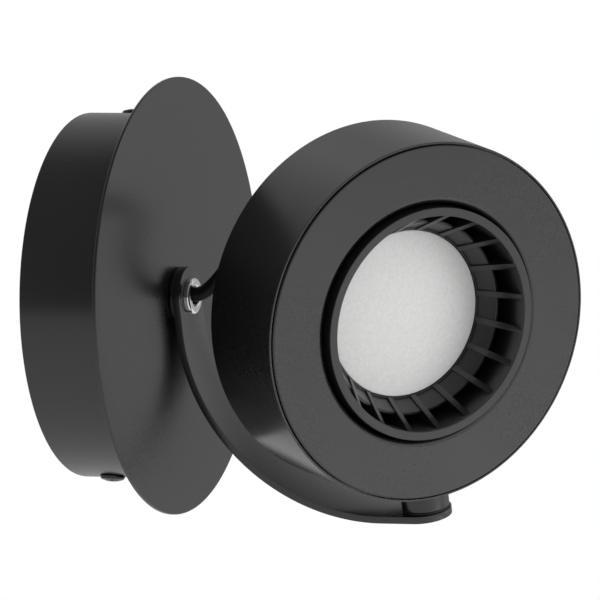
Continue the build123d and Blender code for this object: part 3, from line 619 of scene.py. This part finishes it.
def seats_group():
    """Sets a copy of an object on every point, along its stored direction, turned at random."""
    tree, source = copying_tree(
        "copies_on_seats", ("Copied", "NodeSocketObject", None), ("Seed", "NodeSocketInt", 3)
    )
    copied = tree.add(
        "GeometryNodeObjectInfo", {"transform_space": "ORIGINAL"},
        {"Object": source["Copied"]}, output=4,
    )
    out = tree.add(
        "GeometryNodeInputNamedAttribute", {"data_type": "FLOAT_VECTOR"}, {"Name": "seat_out"}
    )
    aimed = tree.add("FunctionNodeAlignRotationToVector", {"axis": "Z"}, {"Vector": out})
    angle = tree.add(
        "FunctionNodeRandomValue", {"data_type": "FLOAT"},
        {2: 0.0, 3: math.pi, "Seed": source["Seed"]}, output=1,
    )
    spin = tree.add("FunctionNodeAxisAngleToRotation", {}, {"Axis": (0, 0, 1), "Angle": angle})
    turned = tree.add(
        "FunctionNodeRotateRotation", {"rotation_space": "LOCAL"},
        {"Rotation": aimed, "Rotate By": spin},
    )
    return end_with_copies(tree, source["Material"], source["Geometry"], copied, turned)


def ring_group():
    """Sets a number of copies of the incoming mesh evenly round Z."""
    tree, source = copying_tree("copies_in_ring", ("Count", "NodeSocketInt", 20))
    count = source["Count"]
    points = tree.add("GeometryNodePoints", {}, {"Count": count})
    index = tree.add("GeometryNodeInputIndex")
    step = tree.add("ShaderNodeMath", {"operation": "DIVIDE"}, {0: 2 * math.pi, 1: count})
    turn = tree.add(
        "FunctionNodeAxisAngleToRotation", {}, {"Axis": (0, 0, 1), "Angle": index * step}
    )
    return end_with_copies(tree, source["Material"], points, source["Geometry"], turn)


def pan_head(radius, height, shank, reach):
    """Pan-head screw round Z, seat at zero, with a cross recess."""
    mesh = lathe(rounded([
        (0, height), (radius * 0.45, height * 0.97), (radius * 0.92, height * 0.62, radius * 0.22),
        (radius, 0, radius * 0.05), (shank, 0), (shank, -reach, shank * 0.25), (0, -reach),
    ]), 64)
    screw = as_object(mesh, "screw_form")
    return cut(screw, cross_cutter(height, radius * 0.52, height * 0.62))


def screws(name, body, slot, seats, form, node):
    """One piece with a screw on every seat; a seat is a point and the direction of the head."""
    points = bmesh.new()
    for origin, _ in seats:
        points.verts.new(origin)
    piece = as_object(points, name)
    stored = piece.data.attributes.new("seat_out", "FLOAT_VECTOR", "POINT")
    for item, (_, out) in zip(stored.data, seats):
        item.vector = out
    group = bpy.data.node_groups.get("copies_on_seats") or seats_group()
    run_group(piece, group, {"Copied": form, "Material": bpy.data.materials[slot]})
    attribute = piece.data.attributes.get("seat_out")
    if attribute:
        piece.data.attributes.remove(attribute)
    remove(form)
    return settle(piece, body, node)


# ---- Operators ----
class Piece(bpy.types.Operator):
    """Shared part of the operators that make pieces."""

    bl_options = {"REGISTER", "UNDO"}

    def execute(self, context):
        self.make(context.scene)
        return {"FINISHED"}


CAMERA_TURN = math.radians(68.43)
CAMERA_RISE = math.radians(1.9)
CAMERA_DISTANCE = 3.2877
CAMERA_SIDE = 33.1 * MM
CAMERA_DROP = 1.17 * MM
CAMERA_LENS = 720.0
DAYLIGHT = 0.75
FLOOR_HEIGHT = -0.45
FLOOR_RADIUS = 3.0
LAMPS = (  # name, place, size, power
    ("top_box", (-0.25, -0.8, 1.15), 1.2, 3.0),
    ("front_box", (0.2, -1.45, 0.05), 0.7, 10.0),
)
STUDIO = (  # the white surround that a glossy coat mirrors: axis, least, most, from, to
    ("X", 0.12, 0.42, 0.0, 0.6),
    ("Y", 0.0, 0.84, -0.35, -0.9),
    ("Y", 0.0, 0.3, 0.36, 0.56),
)


class MakeStage(Piece):
    """Makes the camera, the lights, the world and the floor"""

    bl_idname = "wall_light.stage"
    bl_label = "Stage"

    def make(self, scene):
        right = Vector((math.cos(CAMERA_TURN), -math.sin(CAMERA_TURN), 0))
        back = Vector((
            -math.sin(CAMERA_TURN) * math.cos(CAMERA_RISE),
            -math.cos(CAMERA_TURN) * math.cos(CAMERA_RISE),
            math.sin(CAMERA_RISE),
        ))
        target = DISC_FRONT + right * CAMERA_SIDE - back.cross(right) * CAMERA_DROP
        data = bpy.data.cameras.new("view")
        data.lens = CAMERA_LENS
        data.sensor_width = 36.0
        data.clip_end = 50.0
        camera = bpy.data.objects.new("view", data)
        camera.matrix_world = place(target + back * CAMERA_DISTANCE, right, back)
        scene.collection.objects.link(camera)
        scene.camera = camera
        scene.view_settings.view_transform = "Standard"
        for name, position, size, power in LAMPS:
            self.light(name, Vector(position), size, power)
        self.world(scene)
        self.floor()

    def light(self, name, position, size, power):
        data = bpy.data.lights.new(name, "AREA")
        data.size = size
        data.energy = power
        lamp = bpy.data.objects.new(name, data)
        lamp.visible_glossy = False
        out = (position - HEAD_CENTRE).normalized()
        across = Vector((0, 0, 1)).cross(out).normalized()
        lamp.matrix_world = place(position, across, out)
        bpy.context.scene.collection.objects.link(lamp)

    def world(self, scene):
        world = bpy.data.worlds.new("studio")
        world.use_nodes = True
        world.node_tree.nodes.clear()
        tree = Tree(world.node_tree)
        seen = tree.add("ShaderNodeLightPath", output="Is Camera Ray")
        glossy = tree.add("ShaderNodeLightPath", output="Is Glossy Ray")
        through = tree.add("ShaderNodeLightPath", output="Is Transmission Ray")
        white = tree.add("ShaderNodeMath", {"operation": "MAXIMUM"}, {0: seen, 1: glossy + through})
        aim = tree.add("ShaderNodeTexCoord", output="Generated")
        sides = [
            tree.spread(tree.add("ShaderNodeSeparateXYZ", {}, {"Vector": aim}, output=axis), *levels)
            for axis, *levels in STUDIO
        ]
        studio = sum(sides[1:], sides[0])
        bright = tree.add("ShaderNodeMath", {"operation": "MAXIMUM"}, {0: seen, 1: studio})
        level = tree.add(
            "ShaderNodeMapRange", {}, {"Value": white, "To Min": DAYLIGHT, "To Max": bright}
        )
        sky = tree.add("ShaderNodeBackground", {}, {"Color": (1, 1, 1, 1), "Strength": level})
        tree.add("ShaderNodeOutputWorld", {}, {"Surface": sky})
        scene.world = world

    def floor(self):
        mesh = bmesh.new()
        bmesh.ops.create_circle(mesh, cap_ends=True, segments=96, radius=FLOOR_RADIUS)
        floor = as_object(mesh, "floor", Matrix.Translation((0, 0, FLOOR_HEIGHT)))

        def paint(tree, coordinates):
            cloud = tree.noise(coordinates, 4.0, 3.0)
            return {"Base Color": tree.tint(cloud, (0.80, 0.80, 0.80), (0.84, 0.84, 0.84))}

        floor.data.materials.append(finish("floor", (0.8, 0.8, 0.8), {"Roughness": 0.9}, paint))


class MakeMaterials(Piece):
    """Makes the finishes and gives every CAD node the one its slot names"""

    bl_idname = "wall_light.materials"
    bl_label = "Finishes"

    def make(self, scene):
        made = make_materials(scene.light_colours)
        slots = {part["node"]: part["material_slot"] for part in frame["record"]["subparts"]}
        for name, node in frame["nodes"].items():
            node.data.materials.clear()
            node.data.materials.append(made[slots[name]])


class MakeCanopy(Piece):
    """Makes the drum on the wall and the disc on its front"""

    bl_idname = "wall_light.canopy"
    bl_label = "Canopy"

    def make(self, scene):
        sizes = scene.light_canopy
        radius, sheet = sizes.drum_radius, sizes.sheet
        hole, soft = sizes.hole_radius, sizes.edge_round
        turned_piece("canopy_shell", [
            (radius - sheet, 0), (radius, 0, soft), (radius, CANOPY_DEPTH), (hole, CANOPY_DEPTH),
            (hole, CANOPY_DEPTH - sheet), (radius - sheet, CANOPY_DEPTH - sheet, sheet * 0.5),
        ], CANOPY_PLACE, "black_coat", "root", "canopy_drum")
        front = (DISC_FRONT - WALL).dot(OUTWARD)
        turned_piece("canopy_disc", [
            (hole, CANOPY_DEPTH), (sizes.disc_radius, CANOPY_DEPTH, soft),
            (sizes.disc_radius, front, soft), (hole, front, soft * 0.5),
        ], CANOPY_PLACE, "black_coat", "root", "backplate_disc")


class MakeArm(Piece):
    """Makes the bent strap"""

    bl_idname = "wall_light.arm"
    bl_label = "Arm"

    def make(self, scene):
        sizes = scene.light_arm
        half, thick = sizes.width / 2, sizes.thickness
        front = STRAP_BACK + thick
        middle = sizes.bend_radius + thick / 2
        inner = (PIVOT - DISC_FRONT).dot(ARM_DOWN) + STRAP_OUTER - thick
        straight = inner - sizes.bend_radius
        reach = (PIVOT - DISC_FRONT).dot(OUTWARD) - front - sizes.bend_radius
        bend = middle * math.pi / 2
        total = half + straight + bend + reach + STRAP_TIP
        mesh = bmesh.new()
        rings = []
        for along in self.stations(total, half, straight + half, bend):
            side = math.sqrt(max(0.0, half**2 - max(0.0, half - along, along - total + half)**2))
            centre, out = self.on_route(
                along - half, straight, bend, middle, front - thick / 2, inner + thick / 2
            )
            sides = [-1, 1] if side > TINY else [0]
            rings.append([
                mesh.verts.new(centre + ARM_SIDE * side * s + out * thick / 2 * k)
                for k in (-1, 1) for s in (sides if k < 0 else sides[::-1])
            ])
        for ring, following in zip(rings, rings[1:]):
            if len(ring) == 2:
                ring = [ring[0], ring[0], ring[1], ring[1]]
            if len(following) == 2:
                following = [following[0], following[0], following[1], following[1]]
            for k in range(4):
                corners = [ring[k], ring[(k + 1) % 4], following[(k + 1) % 4], following[k]]
                corners = list(dict.fromkeys(corners))
                if len(corners) > 2:
                    mesh.faces.new(corners)
        bmesh.ops.recalc_face_normals(mesh, faces=mesh.faces)
        strap = as_object(mesh, "strap", slot="black_coat")
        round_edges(strap, sizes.edge_round, 3, 50)
        baked(strap)
        settle(strap, "arm", "arm_strap", crease=20)

    def stations(self, total, half, bend_start, bend):
        """Distances along the strap: close together in the round ends and the bend."""
        ends = [half * (1 - math.cos(math.pi / 2 * k / END_STEPS)) for k in range(END_STEPS + 1)]
        turns = [bend_start + bend * k / BEND_STEPS for k in range(BEND_STEPS + 1)]
        return ends + turns + [total - end for end in reversed(ends)]

    def on_route(self, along, straight, bend, middle, reach, down):
        """Middle of the strap at a distance from the bolt's axis, and its outer side's direction."""
        if along < straight:
            return arm_point(0, along, reach), -OUTWARD
        if along < straight + bend:
            turn = (along - straight) / middle
            radial = ARM_DOWN * math.sin(turn) - OUTWARD * math.cos(turn)
            return arm_point(0, straight, reach + middle) + radial * middle, radial
        return arm_point(0, down, reach + middle + along - straight - bend), ARM_DOWN


class MakeBolt(Piece):
    """Makes the hollow bolt, its washer and the swivel's washer"""

    bl_idname = "wall_light.bolt"
    bl_label = "Bolt and washers"

    def make(self, scene):
        sizes = scene.light_arm
        low, high = span("hollow_bolt", DISC_FRONT, OUTWARD)
        seat = STRAP_BACK + sizes.thickness
        radius, bore, shank = sizes.bolt_radius, sizes.bore_radius, sizes.shank_radius
        turned_piece("bolt", [
            (bore, low), (shank, low, 0.3 * MM), (shank, seat), (radius, seat, 0.15 * MM),
            (radius, high, 0.75 * MM), (bore + 0.35 * MM, high, 0.45 * MM), (bore, high - 0.8 * MM),
        ], ARM_PLACE, "bright_chrome", "root", "hollow_bolt", SMALL_TURN_STEPS)
        self.washer("strap_washer", ARM_PLACE, "black_steel", "root", "friction_washer")
        self.washer("foot_washer", PIVOT_PLACE, "black_plastic", "arm", "swivel_washer")

    def washer(self, name, matrix, slot, body, node):
        """Flat ring of its CAD node's size, with rounded outer edges."""
        origin, axis = matrix.translation, matrix.col[2].xyz
        low, high = span(node, origin, axis)
        radius = breadth(node, axis.orthogonal().normalized())
        points = [v.co - origin for v in frame["nodes"][node].data.vertices]
        bore = min((point - axis * point.dot(axis)).length for point in points)
        soft = (high - low) * 0.3
        turned_piece(name, [
            (bore, low), (radius, low, soft), (radius, high, soft), (bore, high),
        ], matrix, slot, body, node, SMALL_TURN_STEPS)


class MakeHead(Piece):
    """Makes the head's shell and front plate"""

    bl_idname = "wall_light.head"
    bl_label = "Head"

    def make(self, scene):
        sizes = scene.light_head
        radius, sheet, soft = sizes.radius, sizes.sheet, sizes.edge_round
        turned_piece("shell", [
            (0, HEAD_BACK + sheet), (radius - sheet, HEAD_BACK + sheet, 0.4 * MM),
            (radius - sheet, HEAD_FACE - sizes.lip_depth),
            (radius - sizes.lip, HEAD_FACE - sizes.lip_depth), (radius - sizes.lip, SHELL_FRONT),
            (radius, SHELL_FRONT, 0.2 * MM), (radius, HEAD_BACK, soft), (0, HEAD_BACK),
        ], HEAD_PLACE, "black_coat", "head", "head_shell")
        edge, opening = sizes.plate_radius, sizes.opening
        turned_piece("face_plate", [
            (opening, PLATE_BACK), (edge, PLATE_BACK),
            (edge, HEAD_FACE, sizes.plate_round), (opening, HEAD_FACE, sizes.opening_round),
        ], HEAD_PLACE, "black_coat", "head", "front_plate")


LAMP_FLOOR = LAMP_BACK + 2.0 * MM
CUP_INNER = 23.3 * MM
CUP_OUTER = 24.8 * MM
CUP_MOUTH = 0.48 * MM         # where the cup's cone begins
CONE_OUTER = (27.25 * MM, 5.5 * MM, 0.1 * MM)
CONE_INNER = (26.4 * MM, 5.6 * MM, 0.2 * MM)
SEAT_INNER = 22.3 * MM        # ledge behind the diffuser
DOME_RISE = 0.4 * MM
DOME_EDGE = 0.985             # where the diffuser's dome begins, as a share of its radius
FIN_EDGE_ROUND = 0.18 * MM
FIN_OUTLINE = (  # distance from the lamp's axis and height, in millimetres
    (23.4, 0.4), (23.4, 0.7), (30.2, 13.9), (30.2, -8.1), (24.3, -8.1), (24.3, 0.4),
)


class MakeLamp(Piece):
    """Makes the finned lamp and its diffuser"""

    bl_idname = "wall_light.lamp"
    bl_label = "Lamp"

    def make(self, scene):
        sizes = scene.light_lamp
        back, front = span("diffuser", HEAD_CENTRE, HEAD_FRONT)
        turned_piece("lamp_casting", [
            (0, LAMP_BACK), (sizes.radius, LAMP_BACK, 0.5 * MM),
            (sizes.radius, LAMP_FRONT, sizes.ring_round),
            (sizes.ring_inner, LAMP_FRONT, sizes.ring_round), (sizes.ring_inner, LAMP_FLOOR),
            (CUP_OUTER, LAMP_FLOOR), (CUP_OUTER, CUP_MOUTH), CONE_OUTER, CONE_INNER,
            (23.85 * MM, CUP_MOUTH), (CUP_INNER, 0.6 * MM, 0.1 * MM),
            (CUP_INNER, back), (SEAT_INNER, back), (SEAT_INNER, LAMP_FLOOR), (0, LAMP_FLOOR),
        ], HEAD_PLACE, "black_alloy", "head", "lamp_body")
        self.fins(sizes)
        radius = sizes.diffuser_radius
        shares = [1 - step / DOME_STEPS for step in range(DOME_STEPS + 1)]
        dome = [(radius * DOME_EDGE * share, front - DOME_RISE * share**2) for share in shares]
        turned_piece("lens", [
            (0, back), (radius, back), (radius, front - 0.5 * MM, 0.12 * MM), *dome,
        ], HEAD_PLACE, "frosted", "head", "diffuser")

    def fins(self, sizes):
        """One fin as a flat plate, copied round the lamp."""
        mesh = bmesh.new()
        half = sizes.fin_thickness / 2
        verts = [
            [mesh.verts.new((x * MM, side * half, z * MM)) for x, z in FIN_OUTLINE]
            for side in (-1, 1)
        ]
        mesh.faces.new(verts[0])
        mesh.faces.new(verts[1][::-1])
        for k in range(len(FIN_OUTLINE)):
            after = (k + 1) % len(FIN_OUTLINE)
            mesh.faces.new([verts[0][k], verts[1][k], verts[1][after], verts[0][after]])
        bmesh.ops.recalc_face_normals(mesh, faces=mesh.faces)
        fins = as_object(mesh, "fins")
        round_edges(fins, FIN_EDGE_ROUND, 2, 30)
        alloy = bpy.data.materials["black_alloy"]
        run_group(fins, ring_group(), {"Count": sizes.fin_count, "Material": alloy})
        fins.data.transform(HEAD_PLACE @ Matrix.Rotation(math.radians(sizes.fin_start), 4, "Z"))
        settle(fins, "head", "lamp_body")


class MakePivot(Piece):
    """Makes the spacer and the countersunk screw of the swivel"""

    bl_idname = "wall_light.pivot"
    bl_label = "Swivel"

    def make(self, scene):
        radius = breadth("pivot_spacer", HEAD_SIDE)
        low = span("pivot_spacer", PIVOT, -ARM_DOWN)[0]
        head = scene.light_head.radius
        top = -(HEAD_CENTRE - PIVOT).dot(ARM_DOWN) - head
        bore = 2.2 * MM
        mesh = lathe(rounded([
            (bore, low), (radius, low, 0.3 * MM), (radius, top), (bore, top),
        ]), SMALL_TURN_STEPS)
        for vert in mesh.verts:
            if abs(vert.co.z - top) < TINY:
                vert.co.z += head - math.sqrt(head**2 - vert.co.x**2)
        spacer = as_object(mesh, "spacer", PIVOT_PLACE, "black_coat")
        settle(spacer, "head", "pivot_spacer")
        foot, reach = span("pivot_screw", PIVOT, -ARM_DOWN)
        wide = breadth("pivot_screw", HEAD_SIDE)
        thread = 2.0 * MM
        screw = as_object(lathe(rounded([
            (0, foot), (wide, foot, 0.12 * MM), (thread, foot + wide - thread),
            (thread, reach, 0.3 * MM), (0, reach),
        ]), 96), "foot_screw", slot="black_steel")
        cutter = cross_cutter(-foot, 2.1 * MM, 1.3 * MM)
        cutter.transform(Matrix.Rotation(math.pi, 4, "X"))
        cut(screw, cutter)
        screw.data.transform(PIVOT_PLACE)
        settle(screw, "head", "pivot_screw")


SIDE_SCREW_TURN = 9.0         # degrees, line of the canopy's screws from upright
SIDE_SCREW_OUT = 10.0 * MM
PLATE_SCREW_CIRCLE = 41.0 * MM
PLATE_SCREW_TURNS = (90, 210, 330)
BRIDGE_SCREW_REACH = 22.5 * MM
# Radius and height of the head, radius and length of the shank
CANOPY_SCREW = (3.5 * MM, 1.4 * MM, 2.0 * MM, 8.0 * MM)
PLATE_SCREW = (2.75 * MM, 1.9 * MM, 1.5 * MM, 9.0 * MM)
BRIDGE_SCREW = (2.75 * MM, 1.9 * MM, 1.5 * MM, 3.2 * MM)


class MakeScrews(Piece):
    """Makes the visible pan-head screws"""

    bl_idname = "wall_light.screws"
    bl_label = "Screws"

    def make(self, scene):
        canopy = scene.light_canopy.drum_radius
        up = Matrix.Rotation(math.radians(SIDE_SCREW_TURN), 3, "Y") @ Vector((0, 0, 1))
        side_seats = [
            (OUTWARD * SIDE_SCREW_OUT + up * canopy * side, up * side) for side in (-1, 1)
        ]
        back = HEAD_CENTRE + HEAD_FRONT * HEAD_BACK
        plate_seats = []
        for turn in map(math.radians, PLATE_SCREW_TURNS):
            spot = HEAD_SIDE * math.cos(turn) - ARM_DOWN * math.sin(turn)
            plate_seats.append((back + spot * PLATE_SCREW_CIRCLE, -HEAD_FRONT))
        bridge_seats = [
            (back + HEAD_SIDE * BRIDGE_SCREW_REACH * side, -HEAD_FRONT) for side in (-1, 1)
        ]
        for name, body, seats, size, node in (
            ("canopy_screws", "root", side_seats, CANOPY_SCREW, "side_screws"),
            ("shell_screws", "head", plate_seats, PLATE_SCREW, "rear_screws"),
            ("lamp_bridge_screws", "head", bridge_seats, BRIDGE_SCREW, "bridge_screws"),
        ):
            screws(name, body, "black_steel", seats, pan_head(*size), node)


CABLE_ROUTE = (  # across the strap, down the arm and in front of the disc, in millimetres
    (0, 0, 1.0), (0, 0, 6.2), (0.8, -4.0, 11.6), (5.0, -10.4, 16.0), (14.6, -16.2, 17.2),
    (20.4, -18.4, 21.6), (23.4, -19.4, 28.6),
)
BLEND_START = 5.0 * MM        # where the cable leaves the bolt's bore
GROMMET_UP = 24.0 * MM        # from the head's centre, up the arm's line
GROMMET_RUN = 7.6 * MM        # straight stretch of the cable into the grommet


class MakeCable(Piece):
    """Makes the free cable from the bolt to the head, and the head's grommet"""

    bl_idname = "wall_light.cable"
    bl_label = "Cable"

    def make(self, scene):
        sizes = scene.light_cable
        nose = HEAD_CENTRE + HEAD_FRONT * span("cable_grommet", HEAD_CENTRE, HEAD_FRONT)[0]
        nose -= ARM_DOWN * GROMMET_UP
        route = [arm_point(*(value * MM for value in point)) for point in CABLE_ROUTE]
        route += [nose - HEAD_FRONT * GROMMET_RUN, nose]
        line = self.points_along(route)
        mesh = self.tube(line, sizes.diameter / 2, sizes.sides)
        cable = as_object(mesh, "cable", slot="cable_black")
        smooth(cable, 40)
        real = sum((b - a).length for a, b in zip(line, line[1:]))
        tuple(route[0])
        arm_point(0, 0, BLEND_START)
        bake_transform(cable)
        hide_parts("head_cable")
        self.grommet()

    def points_along(self, route):
        """Points of the smooth line that the route's points control."""
        data = bpy.data.curves.new("route", "CURVE")
        data.dimensions = "3D"
        data.resolution_u = 24
        spline = data.splines.new("NURBS")
        spline.points.add(len(route) - 1)
        for point, spot in zip(spline.points, route):
            point.co = (*spot, 1)
        spline.order_u = 3
        spline.use_endpoint_u = True
        curve = bpy.data.objects.new("route", data)
        bpy.context.scene.collection.objects.link(curve)
        bpy.context.view_layer.update()
        evaluated = curve.evaluated_get(bpy.context.evaluated_depsgraph_get())
        mesh = bpy.data.meshes.new_from_object(evaluated)
        points = [vertex.co.copy() for vertex in mesh.vertices]
        bpy.data.objects.remove(curve)
        bpy.data.curves.remove(data)
        bpy.data.meshes.remove(mesh)
        return points

    def tube(self, line, radius, sides):
        """Closed round tube along the points, without twist."""
        mesh = bmesh.new()
        across = (line[1] - line[0]).orthogonal().normalized()
        rings = []
        for index, point in enumerate(line):
            before, after = line[max(index - 1, 0)], line[min(index + 1, len(line) - 1)]
            along = (after - before).normalized()
            across = (across - along * across.dot(along)).normalized()
            other = along.cross(across)
            rings.append([
                mesh.verts.new(
                    point
                    + across * radius * math.cos(2 * math.pi * k / sides)
                    + other * radius * math.sin(2 * math.pi * k / sides)
                )
                for k in range(sides)
            ])
        for ring, following in zip(rings, rings[1:]):
            for k in range(sides):
                after = (k + 1) % sides
                mesh.faces.new([ring[k], ring[after], following[after], following[k]])
        mesh.faces.new(rings[0])
        mesh.faces.new(rings[-1])
        bmesh.ops.recalc_face_normals(mesh, faces=mesh.faces)
        return mesh

    def grommet(self):
        """Tapered strain relief with three soft grooves."""
        low, high = span("cable_grommet", HEAD_CENTRE, HEAD_FRONT)
        bore, flange = 2.05 * MM, 1.5 * MM
        seat = HEAD_BACK - flange
        corners = [(bore, low), (3.0 * MM, low, 0.3 * MM)]
        for groove in range(3):
            top = low + (2.0 + 2.0 * groove) * MM
            wide = (3.15 + 0.23 * groove) * MM
            narrow, soft = wide - 0.45 * MM, 0.15 * MM
            corners += [
                (wide, top, soft), (narrow, top + 0.3 * MM, soft),
                (narrow, top + 0.8 * MM, soft), (wide + 0.1 * MM, top + 1.1 * MM, soft),
            ]
        corners += [
            (4.0 * MM, seat, 0.3 * MM), (5.2 * MM, seat, 0.4 * MM), (5.2 * MM, HEAD_BACK),
            (3.5 * MM, HEAD_BACK), (3.5 * MM, HEAD_BACK + 1.2 * MM), (4.8 * MM, HEAD_BACK + 1.2 * MM),
            (4.4 * MM, high), (bore, high),
        ]
        matrix = place(HEAD_CENTRE - ARM_DOWN * GROMMET_UP, HEAD_SIDE, HEAD_FRONT)
        turned_piece("grommet", corners, matrix, "rubber_black", "head", "cable_grommet", 96)


OPERATORS = (
    MakeStage, MakeMaterials, MakeCable, MakeCanopy, MakeArm, MakeBolt, MakeHead, MakeLamp,
    MakePivot, MakeScrews,
)


class WallLightPanel(bpy.types.Panel):
    """Lists the operators and the sizes"""

    bl_idname = "VIEW3D_PT_wall_light"
    bl_label = "Pivoting Spotlight Wall Light"
    bl_space_type = "VIEW_3D"
    bl_region_type = "UI"
    bl_category = "Wall Light"

    def draw(self, context):
        for operator in OPERATORS:
            self.layout.operator(operator.bl_idname)
        for name, group in SETTINGS.items():
            box = self.layout.box()
            box.label(text=group.__doc__)
            for key in group.__annotations__:
                box.prop(getattr(context.scene, name), key)


def register():
    for group in SETTINGS.values():
        bpy.utils.register_class(group)
    for name, group in SETTINGS.items():
        setattr(bpy.types.Scene, name, PointerProperty(type=group))
    for operator in (*OPERATORS, WallLightPanel):
        bpy.utils.register_class(operator)


def unregister():
    for operator in (WallLightPanel, *reversed(OPERATORS)):
        bpy.utils.unregister_class(operator)
    for name, group in SETTINGS.items():
        delattr(bpy.types.Scene, name)
        bpy.utils.unregister_class(group)


def main():
    register()
    for operator in OPERATORS:
        group, name = operator.bl_idname.split(".")
        result = getattr(getattr(bpy.ops, group), name)()
        if result != {"FINISHED"}:
            raise RuntimeError(f"{operator.bl_idname} did not finish")


if __name__ == "__main__":
    main()
